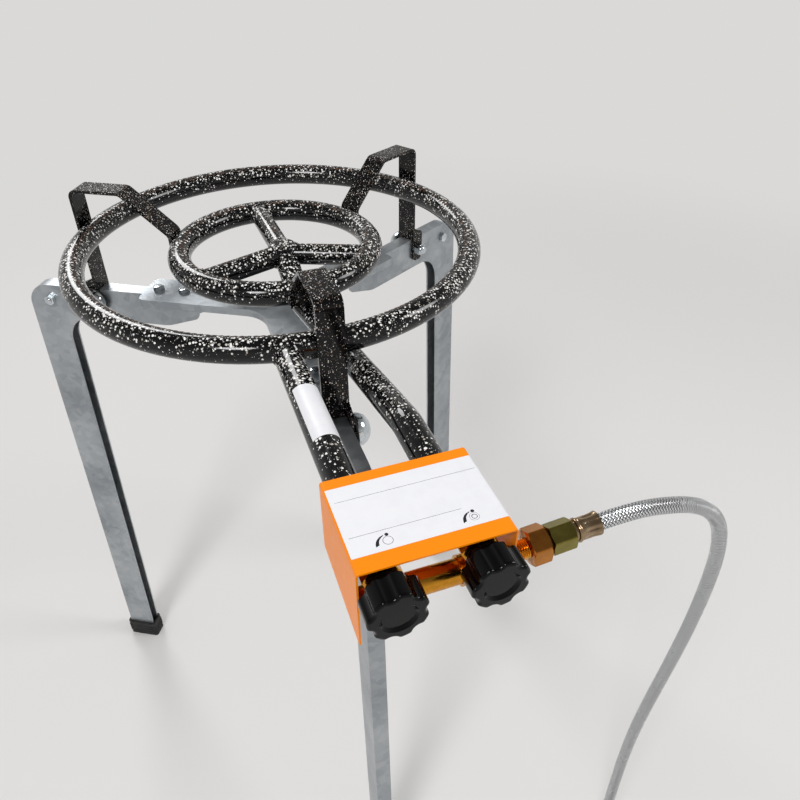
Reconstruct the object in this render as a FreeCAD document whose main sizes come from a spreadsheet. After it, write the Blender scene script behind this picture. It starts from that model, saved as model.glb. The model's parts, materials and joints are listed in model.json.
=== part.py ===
# Propane burner stand: two ring burners, three pan brackets, a tap manifold under a folded hood,
# a braided hose and a stand with three pressed legs. Millimetres.
# +Z is up, the taps are on the -Y side, and the origin is on the floor under the middle of the frame.

import FreeCAD, Part
import math
import os

import Sketcher
from FreeCAD import Placement, Rotation, Vector

doc = FreeCAD.newDocument("BurnerStand")
sheet = doc.addObject("Spreadsheet::Sheet", "Sizes")

sizes = {
    # Burner
    "ringHeight": 700,        # floor to the plane of the outer ring
    "outerRingRadius": 189,   # centre line of the outer ring
    "innerRingRadius": 93,    # centre line of the inner ring
    "innerRingDrop": 4.5,     # inner ring below the outer one
    "ringTube": 22,           # tube of both rings
    "tubeWall": 2,
    "spokeTube": 20,
    "hubAcross": 26,
    "hubTall": 22,
    "hubRound": 4,
    "hubSide": 4,             # hub to the right of the rings' axis
    "hubForward": 15,         # hub towards the taps
    "feedTube": 22,
    "outerFeedSide": 33,      # outer feed tube to the left of the axis
    "innerFeedSide": 25.5,    # inner feed tube to the right of the axis
    "feedDip": 28,            # inner feed tube below the rings' plane where it passes under them
    "feedInside": 18.7,       # its first bend inside the inner ring's centre line
    "feedRise": 110,          # its climb from the outer ring to the height of the tap
    "feedDrift": 1.5,         # its sideways lean at either end of the dip
    "feedBend": 42,           # radius of the feed tube's bends
    # Pan brackets
    "stripThick": 3,
    "stripWidth": 22.6,
    "panHeight": 45,          # pan rest above the rings' plane
    "panRestLong": 50.3,      # level pan rest, inwards from the bracket's upright
    "footDepth": 8,           # welded foot below the inner ring's centre
    "kneeRise": 8,            # foot's upright part above the inner ring's centre
    "stripBend": 7,
    "weldGap": 0.3,
    "earReach": 16.5,
    "earTop": 16,             # ears above the arm
    "earDrop": 27,            # ears below the arm's top
    "earRound": 6,
    # Stand
    "hubPlateDrop": 64,       # top of the star plate below the rings' plane
    "starReach": 150,
    "starHalf": 23.5,         # half the width of a star arm
    "starFlange": 8,
    "starRound": 33,          # rounding between two star arms
    "starEnd": 7,
    "sheetThick": 2,
    "legStart": 92,
    "legWidth": 16,
    "legDeep": 37,
    "legNoseTall": 12.3,      # cut corner under the leg's inner end
    "legNoseLong": 37,
    "legKnee": 286.5,         # outer side of the leg at the knee
    "legFoot": 312,           # outer side of the leg at its lower end
    "kneeOuterRound": 26,
    "kneeInnerRound": 34,
    "capFloor": 6,
    "capTall": 28,
    "capWall": 3,
    "capRound": 4,
    "seatGap": 0.3,           # clearance between two pieces that rest on each other
    # Clamp screws through the bracket ears and the legs
    "clampInset": 7.7,        # screw's axis outside the bracket's upright
    "clampDrop": 14,          # screw's axis below the star plate's top
    "clampShank": 8,
    "clampClear": 0.3,        # radial clearance of the screw in its holes
    "domeAcross": 29.4,
    "domeTall": 14.6,
    "domeRim": 1.8,
    "acornAcross": 13,
    "acornThick": 6.5,
    "acornCap": 12.2,         # diameter of the dome on the flats
    "acornDome": 5,
    # Small bolts
    "boltShank": 6,
    "boltAcross": 10,
    "boltHead": 4,
    "nutThick": 5,
    "boltFirst": 108,
    "boltSpacing": 28,
    "boltEnd": 2,             # thread past the nut
    "kneeBoltInset": 24.5,    # inside the knee's outer side
    "kneeBoltDrop": 19,
    # Taps and manifold
    "tapDrop": 4,             # tap axes below the rings' plane
    "feedReach": 386,         # end of the feed tubes, from the axis
    "airLong": 14,
    "airWide": 11,
    "airGap": 12,             # air window behind the tube's end
    "injectorPlug": 9,
    "injectorThick": 6,
    "injectorAcross": 17,
    "jetAcross": 6,
    "jetLong": 8,
    "jetBore": 1,
    "tapLong": 20,
    "tapWide": 18,
    "tapRound": 4,
    "neckAcross": 16,
    "neckLong": 5,
    "glandAcross": 21,
    "glandLip": 2.4,
    "plugAcross": 9.8,
    "plugClear": 0.1,
    "plugLong": 15.5,
    "portAcross": 4,
    "spindleAcross": 6,
    "spindleClear": 0.05,
    "spindleFlat": 1.8,       # flat of the D end, from the spindle's axis
    "springLong": 5,
    "springAcross": 5.4,
    "springInner": 3.6,
    "knobGap": 4.6,           # from the gland nut to the knob's back
    "knobLong": 22,
    "knobCollar": 6,          # round collar behind the lobes
    "knobClear": 3.6,         # from the lobes back to the hood's front edge
    "knobCollarAcross": 24,
    "knobAcross": 35.2,
    "knobLobes": 7,
    "knobScallop": 5.5,       # radius of the grooves between the lobes
    "knobScallopDeep": 2.2,
    "knobLobeRound": 2.5,     # rounding from a lobe into a groove
    "knobEdge": 2,            # rounding of the front edge
    "knobDish": 22,
    "knobDishDeep": 1.7,
    "knobBore": 14,
    "manifoldOut": 23,        # bar's axis beyond the feed tubes' ends
    "manifoldDrop": 30,
    "manifoldAcross": 16,
    "manifoldLeft": 46,
    "manifoldRight": 33,
    "bossAcross": 10,
    "bossShift": 2.2,         # bosses behind the bar's axis, clear of the gland nuts
    "ballAcross": 19,
    "ballBehind": 16,         # thick right end of the bar, back from the dome's centre
    "ballRound": 9.2,
    # Inlet
    "inletTurn": 0,           # degrees towards +Y
    "inletRise": 5,           # degrees upwards
    "stubAcross": 13.2,
    "stubBore": 8,
    "stubStart": 7.6,
    "stubLong": 39,
    "threadGroove": 0.6,
    "threadPitch": 1.3,
    "hexStart": 29,
    "hexThick": 12.5,
    "hexAcross": 22,
    "adapterThick": 18.5,
    "adapterAcross": 18,
    "collarThick": 2,
    "ferruleLong": 18,
    "ferruleAcross": 16,
    "ferruleNeck": 12.8,
    "ferruleWaist": 14.4,
    # Hood
    "hoodLeft": 50,
    "hoodRight": 43.5,
    "hoodBehind": 32,         # hood's back behind the feed tubes' ends
    "hoodTop": 14,            # above the rings' plane
    "hoodFrontDrop": 46,
    "hoodBackDrop": 41,
    "hoodSheet": 1.2,
    "hoodBend": 2,
    "inletHole": 24,
    # Hose
    "hoseAcross": 11,
    "hoseLead": 20,           # stiff start of the hose, straight out of the ferrule
    "coilSide": 190,          # coil's centre on the floor, to the right of the origin
    "coilForward": 363,
    "coilInner": 50,          # radius of the coil's inner turn
    "coilStep": 11.7,         # from one turn to the next
    "coilLayer": 11.6,        # from one layer to the next
    "coilTurns": 1,           # turns of each layer
    "hoseLanding": 75,        # radius of the hose's turn onto the floor
    "tailStraight": 30,
    "nutAcross": 24,
    "nutLong": 16,
    "nutBore": 16.6,
    "nutDeep": 10,
}


class Size:
    # A size that knows both its value and the expression that gives it in the sheet.
    def __init__(self, text, value):
        self.text = text
        self.value = value

    def __add__(self, other):
        other = sized(other)
        return Size(f"({self.text} + {other.text})", self.value + other.value)

    def __sub__(self, other):
        other = sized(other)
        return Size(f"({self.text} - {other.text})", self.value - other.value)

    def __mul__(self, other):
        other = sized(other)
        return Size(f"({self.text} * {other.text})", self.value * other.value)

    def __truediv__(self, other):
        other = sized(other)
        return Size(f"({self.text} / {other.text})", self.value / other.value)

    def __radd__(self, other):
        return sized(other) + self

    def __rsub__(self, other):
        return sized(other) - self

    def __rmul__(self, other):
        return sized(other) * self

    def __neg__(self):
        return self * -1


def sized(number):
    if isinstance(number, Size):
        return number
    return Size(f"({float(number):.9f})", float(number))


def number(size):
    return sized(size).value


for row, (name, value) in enumerate(sizes.items(), start=1):
    sheet.set(f"A{row}", name)
    sheet.set(f"B{row}", str(value))
    sheet.setAlias(f"B{row}", name)
doc.recompute()


class Sheet:
    # Every named cell of the sheet, as a Size.
    def __getattr__(self, name):
        return Size(f"Sizes.{name}", float(sheet.get(name)))


s = Sheet()

# Lengths that follow from the driving ones
ringOuter = s.outerRingRadius + s.ringTube / 2
tapFront = s.feedReach + s.injectorThick + s.tapLong
knobReach = tapFront + s.neckLong + s.glandLip + s.knobGap
knobFront = knobReach + s.knobLong
axisY = (knobFront - ringOuter) / 2
tubeBore = s.feedTube - s.tubeWall * 2
legInner = ringOuter + s.weldGap
armTop = -s.hubPlateDrop - s.sheetThick
armBottom = armTop - s.legDeep
clampZ = -s.hubPlateDrop - s.clampDrop
tapZ = -s.tapDrop
clampReach = legInner + s.clampInset
kneeBoltReach = s.legKnee - s.kneeBoltInset
manifoldReach = s.feedReach + s.manifoldOut
hoodBack = s.feedReach - s.hoodBehind
hoodFront = knobReach + s.knobCollar - s.knobClear
earInner = s.legWidth / 2 + s.seatGap
earOuter = s.stripWidth / 2
arms = {"front": -90, "right": 30, "left": 150}
taps = {"left": -s.outerFeedSide, "right": s.innerFeedSide}

pieces = []


def named(item, node):
    item.Label = node
    pieces.append(item)
    return item


def bind(item, name, size):
    item.setExpression(name, sized(size).text)


def place(item, x, y, z, turn=None):
    # The position is counted from the rings' axis at the height of the outer ring.
    spot = (sized(x), axisY + y, s.ringHeight + z)
    item.Placement = Placement(Vector(*(part.value for part in spot)), turn or Rotation())
    for letter, part in zip("xyz", spot):
        bind(item, f"Placement.Base.{letter}", part)


def turned(direction):
    return Rotation(Vector(0, 0, 1), Vector(*direction))


def radial(angle):
    return Rotation(Vector(0, 0, 1), angle)


# Sketch helpers
def newBody(node):
    return named(doc.addObject("PartDesign::Body", node), node)


def sketchOn(body, role, offset=0):
    sketch = body.newObject("Sketcher::SketchObject", "Sketch")
    plane = next(item for item in body.Origin.OriginFeatures if item.Role == role)
    sketch.AttachmentSupport = [(plane, "")]
    sketch.MapMode = "FlatFace"
    bind(sketch, "AttachmentOffset.Base.z", offset)
    return sketch


def fixed(sketch, kind, where, size):
    # One dimension of the sketch, bound to its expression
    index = sketch.addConstraint(Sketcher.Constraint(kind, *where, number(size)))
    sketch.setExpression(f"Constraints[{index}]", sized(size).text)


def fixPoint(sketch, line, end, x, y):
    fixed(sketch, "DistanceX", (-1, 1, line, end), x)
    fixed(sketch, "DistanceY", (-1, 1, line, end), y)


def circle(sketch, x, y, across):
    shape = Part.Circle(Vector(number(x), number(y), 0), Vector(0, 0, 1), number(across) / 2)
    ring = sketch.addGeometry(shape, False)
    fixPoint(sketch, ring, 3, x, y)
    fixed(sketch, "Diameter", (ring,), across)


def outline(sketch, corners, closed=True):
    # Straight lines through the corners; a corner given with a radius is rounded.
    corners = [tuple(corner) + (0,) * (3 - len(corner)) for corner in corners]
    spots = [Vector(number(x), number(y), 0) for x, y, radius in corners]
    count = len(corners)
    starts, ends = {}, {}
    for i, (spot, corner) in enumerate(zip(spots, corners)):
        radius = number(corner[2])
        if radius == 0:
            starts[i] = ends[i] = spot
            continue
        back = (spots[i - 1] - spot).normalize()
        ahead = (spots[(i + 1) % count] - spot).normalize()
        cut = radius / math.tan(back.getAngle(ahead) / 2)
        ends[i] = spot + back * cut
        starts[i] = spot + ahead * cut
    sides = count if closed else count - 1
    lines = [
        sketch.addGeometry(Part.LineSegment(starts[i], ends[(i + 1) % count]), False)
        for i in range(sides)
    ]
    for i, (x, y, radius) in enumerate(corners):
        first = not closed and i == 0
        last = not closed and i == count - 1
        before, after = lines[i - 1], lines[i % sides]
        if first:
            fixPoint(sketch, after, 1, x, y)
        elif last:
            fixPoint(sketch, lines[-1], 2, x, y)
        elif number(radius) == 0:
            sketch.addConstraint(Sketcher.Constraint("Coincident", before, 2, after, 1))
            fixPoint(sketch, after, 1, x, y)
        else:
            roundCorner(sketch, before, after, (x, y, radius), spots[i], ends[i], starts[i])


def roundCorner(sketch, before, after, corner, spot, entry, leave):
    radius = number(corner[2])
    inward = ((entry - spot) + (leave - spot)).normalize()
    reach = math.hypot(radius, (entry - spot).Length)
    centre = spot + inward * reach
    left = (spot - entry).cross(leave - spot).z > 0
    first, second = (entry, leave) if left else (leave, entry)
    angles = [math.atan2(end.y - centre.y, end.x - centre.x) for end in (first, second)]
    shape = Part.ArcOfCircle(Part.Circle(centre, Vector(0, 0, 1), radius), *angles)
    arc = sketch.addGeometry(shape, False)
    near, far = (1, 2) if left else (2, 1)
    mark = sketch.addGeometry(Part.Point(spot), True)
    fixPoint(sketch, mark, 1, corner[0], corner[1])
    sketch.addConstraint(Sketcher.Constraint("PointOnObject", mark, 1, before))
    sketch.addConstraint(Sketcher.Constraint("PointOnObject", mark, 1, after))
    sketch.addConstraint(Sketcher.Constraint("Tangent", before, 2, arc, near))
    sketch.addConstraint(Sketcher.Constraint("Tangent", arc, far, after, 1))
    fixed(sketch, "Radius", (arc,), corner[2])


def hexagon(sketch, across):
    reach = across / math.sqrt(3)
    angles = [math.radians(60 * i) for i in range(6)]
    outline(sketch, [(reach * math.cos(angle), reach * math.sin(angle)) for angle in angles])


def grown(body, kind, sketch, length, middle=False, back=False, through=False):
    feature = body.newObject(f"PartDesign::{kind}", kind)
    feature.Profile = sketch
    feature.Midplane = middle
    feature.Reversed = back
    if through:
        feature.Type = "ThroughAll"
    else:
        bind(feature, "Length", length)
    sketch.Visibility = False
    return feature


def pad(body, sketch, length, **options):
    return grown(body, "Pad", sketch, length, **options)


def pocket(body, sketch, length=0, **options):
    before = solidVolume(body)
    feature = grown(body, "Pocket", sketch, length, **options)
    if solidVolume(body) >= before:
        raise SystemExit(f"{body.Label}: a pocket cuts nothing")
    return feature


def solidVolume(body):
    doc.recompute()
    return body.Shape.Volume


def revolved(body, sketch):
    feature = body.newObject("PartDesign::Revolution", "Revolution")
    feature.Profile = sketch
    feature.ReferenceAxis = (sketch, ["V_Axis"])
    feature.Angle = 360
    return feature


def rounded(body, kind, size, chosen):
    # Fillet or chamfer on the edges of the body's last feature that the test picks out
    doc.recompute()
    base = body.Tip
    names = [f"Edge{i}" for i, edge in enumerate(base.Shape.Edges, start=1) if chosen(edge)]
    if not names:
        raise SystemExit(f"{body.Label}: no edge to round")
    feature = body.newObject(f"PartDesign::{kind}", kind)
    feature.Base = (base, names)
    bind(feature, "Radius" if kind == "Fillet" else "Size", size)
    return feature


# Part helpers
def cylinder(across, length, x, y, z, direction=(0, 0, 1)):
    item = doc.addObject("Part::Cylinder", "Cylinder")
    bind(item, "Radius", sized(across) / 2)
    bind(item, "Height", length)
    place(item, x, y, z, turned(direction))
    return item


def torus(radius, across, z):
    item = doc.addObject("Part::Torus", "Torus")
    bind(item, "Radius1", radius)
    bind(item, "Radius2", across / 2)
    place(item, 0, 0, z)
    return item


def joined(kind, first, *others):
    for other in others:
        item = doc.addObject(f"Part::{kind}", kind)
        item.Base = first
        item.Tool = other
        first = item
    return first


def feature(node, shape):
    item = named(doc.addObject("Part::Feature", node), node)
    item.Shape = shape
    return item


def spotOf(x, y, z):
    # Point counted from the rings' axis, as a plain vector of the model
    return Vector(number(x), number(axisY) + number(y), number(s.ringHeight) + number(z))


def polyRoute(points, radii):
    # Wire of straight runs joined by tangent arcs
    edges = []
    start = points[0]
    for i in range(1, len(points) - 1):
        back = (points[i - 1] - points[i]).normalize()
        ahead = (points[i + 1] - points[i]).normalize()
        half = back.getAngle(ahead) / 2
        cut = radii[i - 1] / math.tan(half)
        entry = points[i] + back * cut
        leave = points[i] + ahead * cut
        centre = points[i] + (back + ahead).normalize() * (radii[i - 1] / math.sin(half))
        middle = centre + (points[i] - centre).normalize() * radii[i - 1]
        edges.append(Part.LineSegment(start, entry).toShape())
        edges.append(Part.Arc(entry, middle, leave).toShape())
        start = leave
    edges.append(Part.LineSegment(start, points[-1]).toShape())
    return Part.Wire(edges)


def roundBar(wire, across):
    # Round section swept along the wire
    start = wire.Edges[0]
    spot = start.valueAt(start.FirstParameter)
    along = start.tangentAt(start.FirstParameter)
    section = Part.Wire(Part.Circle(spot, along, across / 2).toShape())
    bar = wire.makePipeShell([section], True, False)
    ratio = bar.Volume / (math.pi * across ** 2 / 4 * wire.Length)
    print(f"swept bar: length {wire.Length:.1f}, volume over section times length {ratio:.4f}")
    return bar


def hexBar(across, length):
    reach = across / math.sqrt(3)
    corners = [Vector(reach, 0, 0)]
    for i in range(1, 7):
        angle = math.radians(60 * i)
        corners.append(Vector(reach * math.cos(angle), reach * math.sin(angle), 0))
    return Part.Face(Part.makePolygon(corners)).extrude(Vector(0, 0, length))


# Rings: a tube bent to a circle and welded
def ring(node, radius, z):
    body = newBody(node)
    sketch = sketchOn(body, "XZ_Plane")
    circle(sketch, radius, 0, s.ringTube)
    revolved(body, sketch)
    place(body, 0, 0, z)


ring("outer_ring", s.outerRingRadius, 0)
ring("inner_ring", s.innerRingRadius, -s.innerRingDrop)


# Hub where the three spokes and the inner feed tube meet
def spokeHub():
    body = newBody("spoke_hub")
    sketch = sketchOn(body, "XY_Plane")
    circle(sketch, 0, 0, s.hubAcross)
    pad(body, sketch, s.hubTall, middle=True)
    rounded(body, "Fillet", s.hubRound, lambda edge: edge.Curve.TypeId == "Part::GeomCircle")
    place(body, s.hubSide, -s.hubForward, -s.innerRingDrop)


spokeHub()


def hubCutter(x, y):
    length = s.ringHeight / 2
    return cylinder(s.hubAcross, length, x, y, -s.innerRingDrop - length / 2)


# Each spoke is a tube whose ends are shaped to the hub and the ring.
spokes = {"back": 90, "right": -30, "left": -150}


def spokeBar(side, across):
    angle = math.radians(spokes[side])
    runX = s.innerRingRadius * math.cos(angle) - s.hubSide
    runY = s.innerRingRadius * math.sin(angle) + s.hubForward
    length = math.hypot(runX.value, runY.value)
    direction = (runX.value, runY.value, 0)
    return cylinder(across, length, s.hubSide, -s.hubForward, -s.innerRingDrop, direction)


def spoke(side):
    outer = spokeBar(side, s.spokeTube)
    bore = spokeBar(side, s.spokeTube - s.tubeWall * 2)
    cutters = (hubCutter(s.hubSide, -s.hubForward), torus(s.innerRingRadius, s.ringTube, -s.innerRingDrop))
    named(joined("Cut", outer, bore, *cutters), f"{side}_spoke")


for side in spokes:
    spoke(side)


# Feed tubes, each with an air window near the injector
def airWindow(x):
    box = doc.addObject("Part::Box", "AirWindow")
    bind(box, "Length", s.airWide)
    bind(box, "Width", s.airLong)
    bind(box, "Height", s.feedTube / 2)
    place(box, x - s.airWide / 2, -s.feedReach + s.airGap, tapZ - s.feedTube / 2)
    return box


def outerFeed():
    start = -s.outerRingRadius * math.cos(math.asin(number(s.outerFeedSide / s.outerRingRadius)))
    length = s.feedReach + start
    along = (0, -1, 0)
    outer = cylinder(s.feedTube, length, -s.outerFeedSide, start, tapZ, along)
    bore = cylinder(tubeBore, length, -s.outerFeedSide, start, tapZ, along)
    cutters = (bore, torus(s.outerRingRadius, s.ringTube, 0), airWindow(-s.outerFeedSide))
    named(joined("Cut", outer, *cutters), "outer_feed_tube")


def innerFeed():
    # From the hub it dips under both rings, then rises beside the front bracket to its tap.
    route = [
        spotOf(s.hubSide, -s.hubForward, -s.innerRingDrop),
        spotOf(s.hubSide + s.feedDrift, s.feedInside - s.innerRingRadius, -s.feedDip),
        spotOf(s.innerFeedSide - s.feedDrift, -s.outerRingRadius, -s.feedDip),
        spotOf(s.innerFeedSide, -s.outerRingRadius - s.feedRise, tapZ),
        spotOf(s.innerFeedSide, -s.feedReach, tapZ),
    ]
    wire = polyRoute(route, [number(s.feedBend)] * 3)
    pipe = doc.addObject("Part::Feature", "InnerFeedPipe")
    pipe.Shape = roundBar(wire, number(s.feedTube)).cut(roundBar(wire, number(tubeBore)))
    beside = [spokeBar(side, s.spokeTube) for side in ("right", "left")]
    cutters = (hubCutter(s.hubSide, -s.hubForward), *beside, airWindow(s.innerFeedSide))
    named(joined("Cut", pipe, *cutters), "inner_feed_tube")


outerFeed()
innerFeed()


# Pan bracket: a bent strip from the inner ring over the outer one, with two ears that hold the leg
def panBracket(side, angle):
    body = newBody(f"{side}_pan_bracket")
    footX = s.innerRingRadius + s.ringTube / 2 + s.weldGap + s.stripThick / 2
    footZ = -s.innerRingDrop - s.footDepth
    topZ = s.panHeight - s.stripThick / 2
    legX = legInner + s.stripThick / 2
    path = sketchOn(body, "XZ_Plane")
    outline(path, [
        (footX, footZ),
        (footX, -s.innerRingDrop + s.kneeRise, s.stripBend),
        (legInner - s.panRestLong, topZ, s.stripBend),
        (legX, topZ, s.stripBend),
        (legX, armTop + s.seatGap),
    ], closed=False)
    section = sketchOn(body, "XY_Plane", footZ)
    half = s.stripWidth / 2
    outline(section, [
        (footX - s.stripThick / 2, -half),
        (footX + s.stripThick / 2, -half),
        (footX + s.stripThick / 2, half),
        (footX - s.stripThick / 2, half),
    ])
    doc.recompute()
    strip = body.newObject("PartDesign::AdditivePipe", "Strip")
    strip.Profile = section
    strip.Spine = (path, [f"Edge{i}" for i in range(1, len(path.Shape.Edges) + 1)])
    for offset in (-earInner, earOuter):
        ear = sketchOn(body, "XZ_Plane", offset)
        outline(ear, [
            (legInner, armTop - s.earDrop, s.earRound),
            (legInner + s.earReach, armTop - s.earDrop, s.earRound),
            (legInner + s.earReach, armTop + s.earTop / 2, s.earRound),
            (legInner, armTop + s.earTop),
        ])
        pad(body, ear, earOuter - earInner, back=True)
    hole = sketchOn(body, "XZ_Plane")
    circle(hole, clampReach, clampZ, s.clampShank + s.clampClear * 2)
    pocket(body, hole, s.stripWidth * 2, middle=True)
    place(body, 0, 0, 0, radial(angle))


for side, angle in arms.items():
    panBracket(side, angle)


# Star plate: three pressed arms with a flange along their sides and rounded corners between them
def starCorners(half, reach, corner, end):
    corners = []
    for turn in (0, 120, 240):
        angle = math.radians(turn)
        ahead = (math.cos(angle), math.sin(angle))
        aside = (-math.sin(angle), math.cos(angle))
        for offset in (-half, half):
            corners.append((
                reach * ahead[0] + offset * aside[0],
                reach * ahead[1] + offset * aside[1],
                end,
            ))
        between = math.radians(turn + 60)
        inner = half / math.sin(math.radians(60))
        corners.append((inner * math.cos(between), inner * math.sin(between), corner))
    return corners


def starPlate():
    body = newBody("star_plate")
    plate = sketchOn(body, "XY_Plane")
    outline(plate, starCorners(s.starHalf, s.starReach, s.starRound, s.starEnd))
    pad(body, plate, s.starFlange, back=True)
    inside = sketchOn(body, "XY_Plane", -s.sheetThick)
    outline(inside, starCorners(
        s.starHalf - s.sheetThick, s.starReach + s.starFlange, s.starRound + s.sheetThick, s.sheetThick))
    pocket(body, inside, s.starFlange)
    holes = sketchOn(body, "XY_Plane")
    for turn in (0, 120, 240):
        angle = math.radians(turn)
        for reach in (s.boltFirst, s.boltFirst + s.boltSpacing):
            circle(holes, reach * math.cos(angle), reach * math.sin(angle), s.boltShank)
    pocket(body, holes, s.starFlange * 2, middle=True)
    place(body, 0, 0, -s.hubPlateDrop, radial(arms["right"]))


starPlate()


# Leg: one pressed channel that runs out under the star plate and bends down to the foot
def legSide(height):
    # Distance from the axis to the leg's outer side at a height above the floor
    kneeHeight = s.ringHeight + armTop
    return s.legFoot - (s.legFoot - s.legKnee) * (height / kneeHeight)


def leg(side, angle):
    body = newBody(f"{side}_leg")
    floorZ = s.capFloor - s.ringHeight
    elbow = s.ringHeight + armBottom
    profile = sketchOn(body, "XZ_Plane")
    outline(profile, [
        (s.legStart, armTop),
        (s.legStart, armBottom + s.legNoseTall, s.stripBend),
        (s.legStart + s.legNoseLong, armBottom, s.kneeInnerRound),
        (legSide(elbow) - s.legDeep, armBottom, s.kneeInnerRound),
        (legSide(s.capFloor) - s.legDeep, floorZ),
        (legSide(s.capFloor), floorZ),
        (legSide(s.ringHeight + armTop), armTop, s.kneeOuterRound),
    ])
    pad(body, profile, s.legWidth, middle=True)
    inside = sketchOn(body, "XZ_Plane")
    lower = floorZ - s.legDeep
    outline(inside, [
        (s.legStart - s.legDeep, armTop - s.sheetThick),
        (s.legStart - s.legDeep, lower),
        (legSide(0 - s.legDeep + s.capFloor) - s.sheetThick, lower),
        (legSide(s.ringHeight + armTop) - s.sheetThick, armTop - s.sheetThick, s.kneeOuterRound - s.sheetThick),
    ])
    pocket(body, inside, s.legWidth - s.sheetThick * 2, middle=True)
    cross = sketchOn(body, "XZ_Plane")
    circle(cross, clampReach, clampZ, s.clampShank + s.clampClear * 2)
    circle(cross, kneeBoltReach, -s.hubPlateDrop - s.kneeBoltDrop, s.boltShank)
    pocket(body, cross, s.legWidth * 2, middle=True)
    web = sketchOn(body, "XY_Plane", armTop)
    for reach in (s.boltFirst, s.boltFirst + s.boltSpacing):
        circle(web, reach, 0, s.boltShank)
    pocket(body, web, s.legDeep)
    place(body, 0, 0, 0, radial(angle))


for side, angle in arms.items():
    leg(side, angle)


# Rubber cap on each foot
def footCap(side, angle):
    body = newBody(f"{side}_foot_cap")
    slant = legSide(s.capFloor) - legSide(s.capTall)
    inner = legSide(s.capFloor) - s.legDeep - slant - s.seatGap
    outer = legSide(s.capFloor) + s.seatGap
    half = s.legWidth / 2 + s.seatGap
    block = sketchOn(body, "XY_Plane")
    outline(block, [
        (inner - s.capWall, -half - s.capWall, s.capRound),
        (outer + s.capWall, -half - s.capWall, s.capRound),
        (outer + s.capWall, half + s.capWall, s.capRound),
        (inner - s.capWall, half + s.capWall, s.capRound),
    ])
    pad(body, block, s.capTall)
    hollow = sketchOn(body, "XY_Plane", s.capTall)
    outline(hollow, [(inner, -half), (outer, -half), (outer, half), (inner, half)])
    pocket(body, hollow, s.capTall - s.capFloor + s.seatGap)
    place(body, 0, 0, -s.ringHeight, radial(angle))


for side, angle in arms.items():
    footCap(side, angle)


# Bolts between the star plate and the legs, and across each knee
def bolt(shank, gap, turnSpot):
    # Hex bolt from its head at z 0 down through the gap, with its nut's place below
    length = gap + number(s.nutThick) + number(s.boltEnd)
    shape = hexBar(number(s.boltAcross), number(s.boltHead))
    shape = shape.fuse(Part.makeCylinder(shank / 2, length, Vector(0, 0, -length)))
    shape.Placement = turnSpot
    return shape


def nut(gap, turnSpot):
    thick = number(s.nutThick)
    shape = hexBar(number(s.boltAcross), thick)
    shape = shape.cut(Part.makeCylinder(number(s.boltShank) / 2, thick))
    shape.Placement = turnSpot.multiply(Placement(Vector(0, 0, -gap - thick), Rotation()))
    return shape


def smallBolts():
    shank = number(s.boltShank)
    plateGap = number(s.sheetThick) * 2
    armSpots = []
    kneeSpots = []
    for angle in arms.values():
        turn = Placement(spotOf(0, 0, 0), radial(angle))
        for reach in (s.boltFirst, s.boltFirst + s.boltSpacing):
            spot = Vector(number(reach), 0, -number(s.hubPlateDrop))
            armSpots.append(turn.multiply(Placement(spot, Rotation())))
        knee = Vector(
            number(kneeBoltReach), -number(s.legWidth) / 2, -number(s.hubPlateDrop + s.kneeBoltDrop))
        kneeSpots.append(turn.multiply(Placement(knee, turned((0, -1, 0)))))
    kneeGap = number(s.legWidth)
    feature("arm_bolts", Part.makeCompound([bolt(shank, plateGap, spot) for spot in armSpots]))
    feature("arm_nuts", Part.makeCompound([nut(plateGap, spot) for spot in armSpots]))
    feature("knee_bolts", Part.makeCompound([bolt(shank, kneeGap, spot) for spot in kneeSpots]))
    feature("knee_nuts", Part.makeCompound([nut(kneeGap, spot) for spot in kneeSpots]))


smallBolts()


# Clamp screw with a domed head, and the acorn nut at its other end
def besideArm(angle, outward):
    turn = radial(angle)
    spot = turn.multVec(Vector(number(clampReach), outward, 0))
    return spot, turn


def clampScrew(side, angle):
    body = newBody(f"{side}_clamp_screw")
    profile = sketchOn(body, "XZ_Plane")
    shank = s.clampShank / 2
    length = earOuter * 2 + s.seatGap + s.acornThick
    radius = s.domeAcross / 2
    outline(profile, [
        (0, -length),
        (shank, -length),
        (shank, 0),
        (radius, 0),
        (radius, s.domeTall, s.domeTall - s.domeRim),
        (0, s.domeTall),
    ])
    revolved(body, profile)
    spot, turn = besideArm(angle, number(earOuter + s.seatGap))
    along = turn.multVec(Vector(0, 1, 0))
    place(body, spot.x, spot.y, clampZ, turned(along))


def acornNut(side, angle):
    body = newBody(f"{side}_acorn_nut")
    flats = sketchOn(body, "XY_Plane")
    hexagon(flats, s.acornAcross)
    pad(body, flats, s.acornThick)
    dome = sketchOn(body, "XZ_Plane")
    radius = s.acornCap / 2
    outline(dome, [
        (0, s.acornThick / 2),
        (radius, s.acornThick / 2),
        (radius, s.acornThick + s.acornDome, s.acornDome),
        (0, s.acornThick + s.acornDome),
    ])
    revolved(body, dome)
    bore = sketchOn(body, "XY_Plane")
    circle(bore, 0, 0, s.clampShank + s.clampClear)
    pocket(body, bore, s.acornThick + s.seatGap, back=True)
    spot, turn = besideArm(angle, -number(earOuter))
    along = turn.multVec(Vector(0, -1, 0))
    place(body, spot.x, spot.y, clampZ, turned(along))


for side, angle in arms.items():
    clampScrew(side, angle)
    acornNut(side, angle)


# Taps. Every piece is turned so that its own Z points at the person who turns the knob.
def towardsUser(item, x, reach):
    place(item, x, -reach, tapZ, turned((0, -1, 0)))


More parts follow.
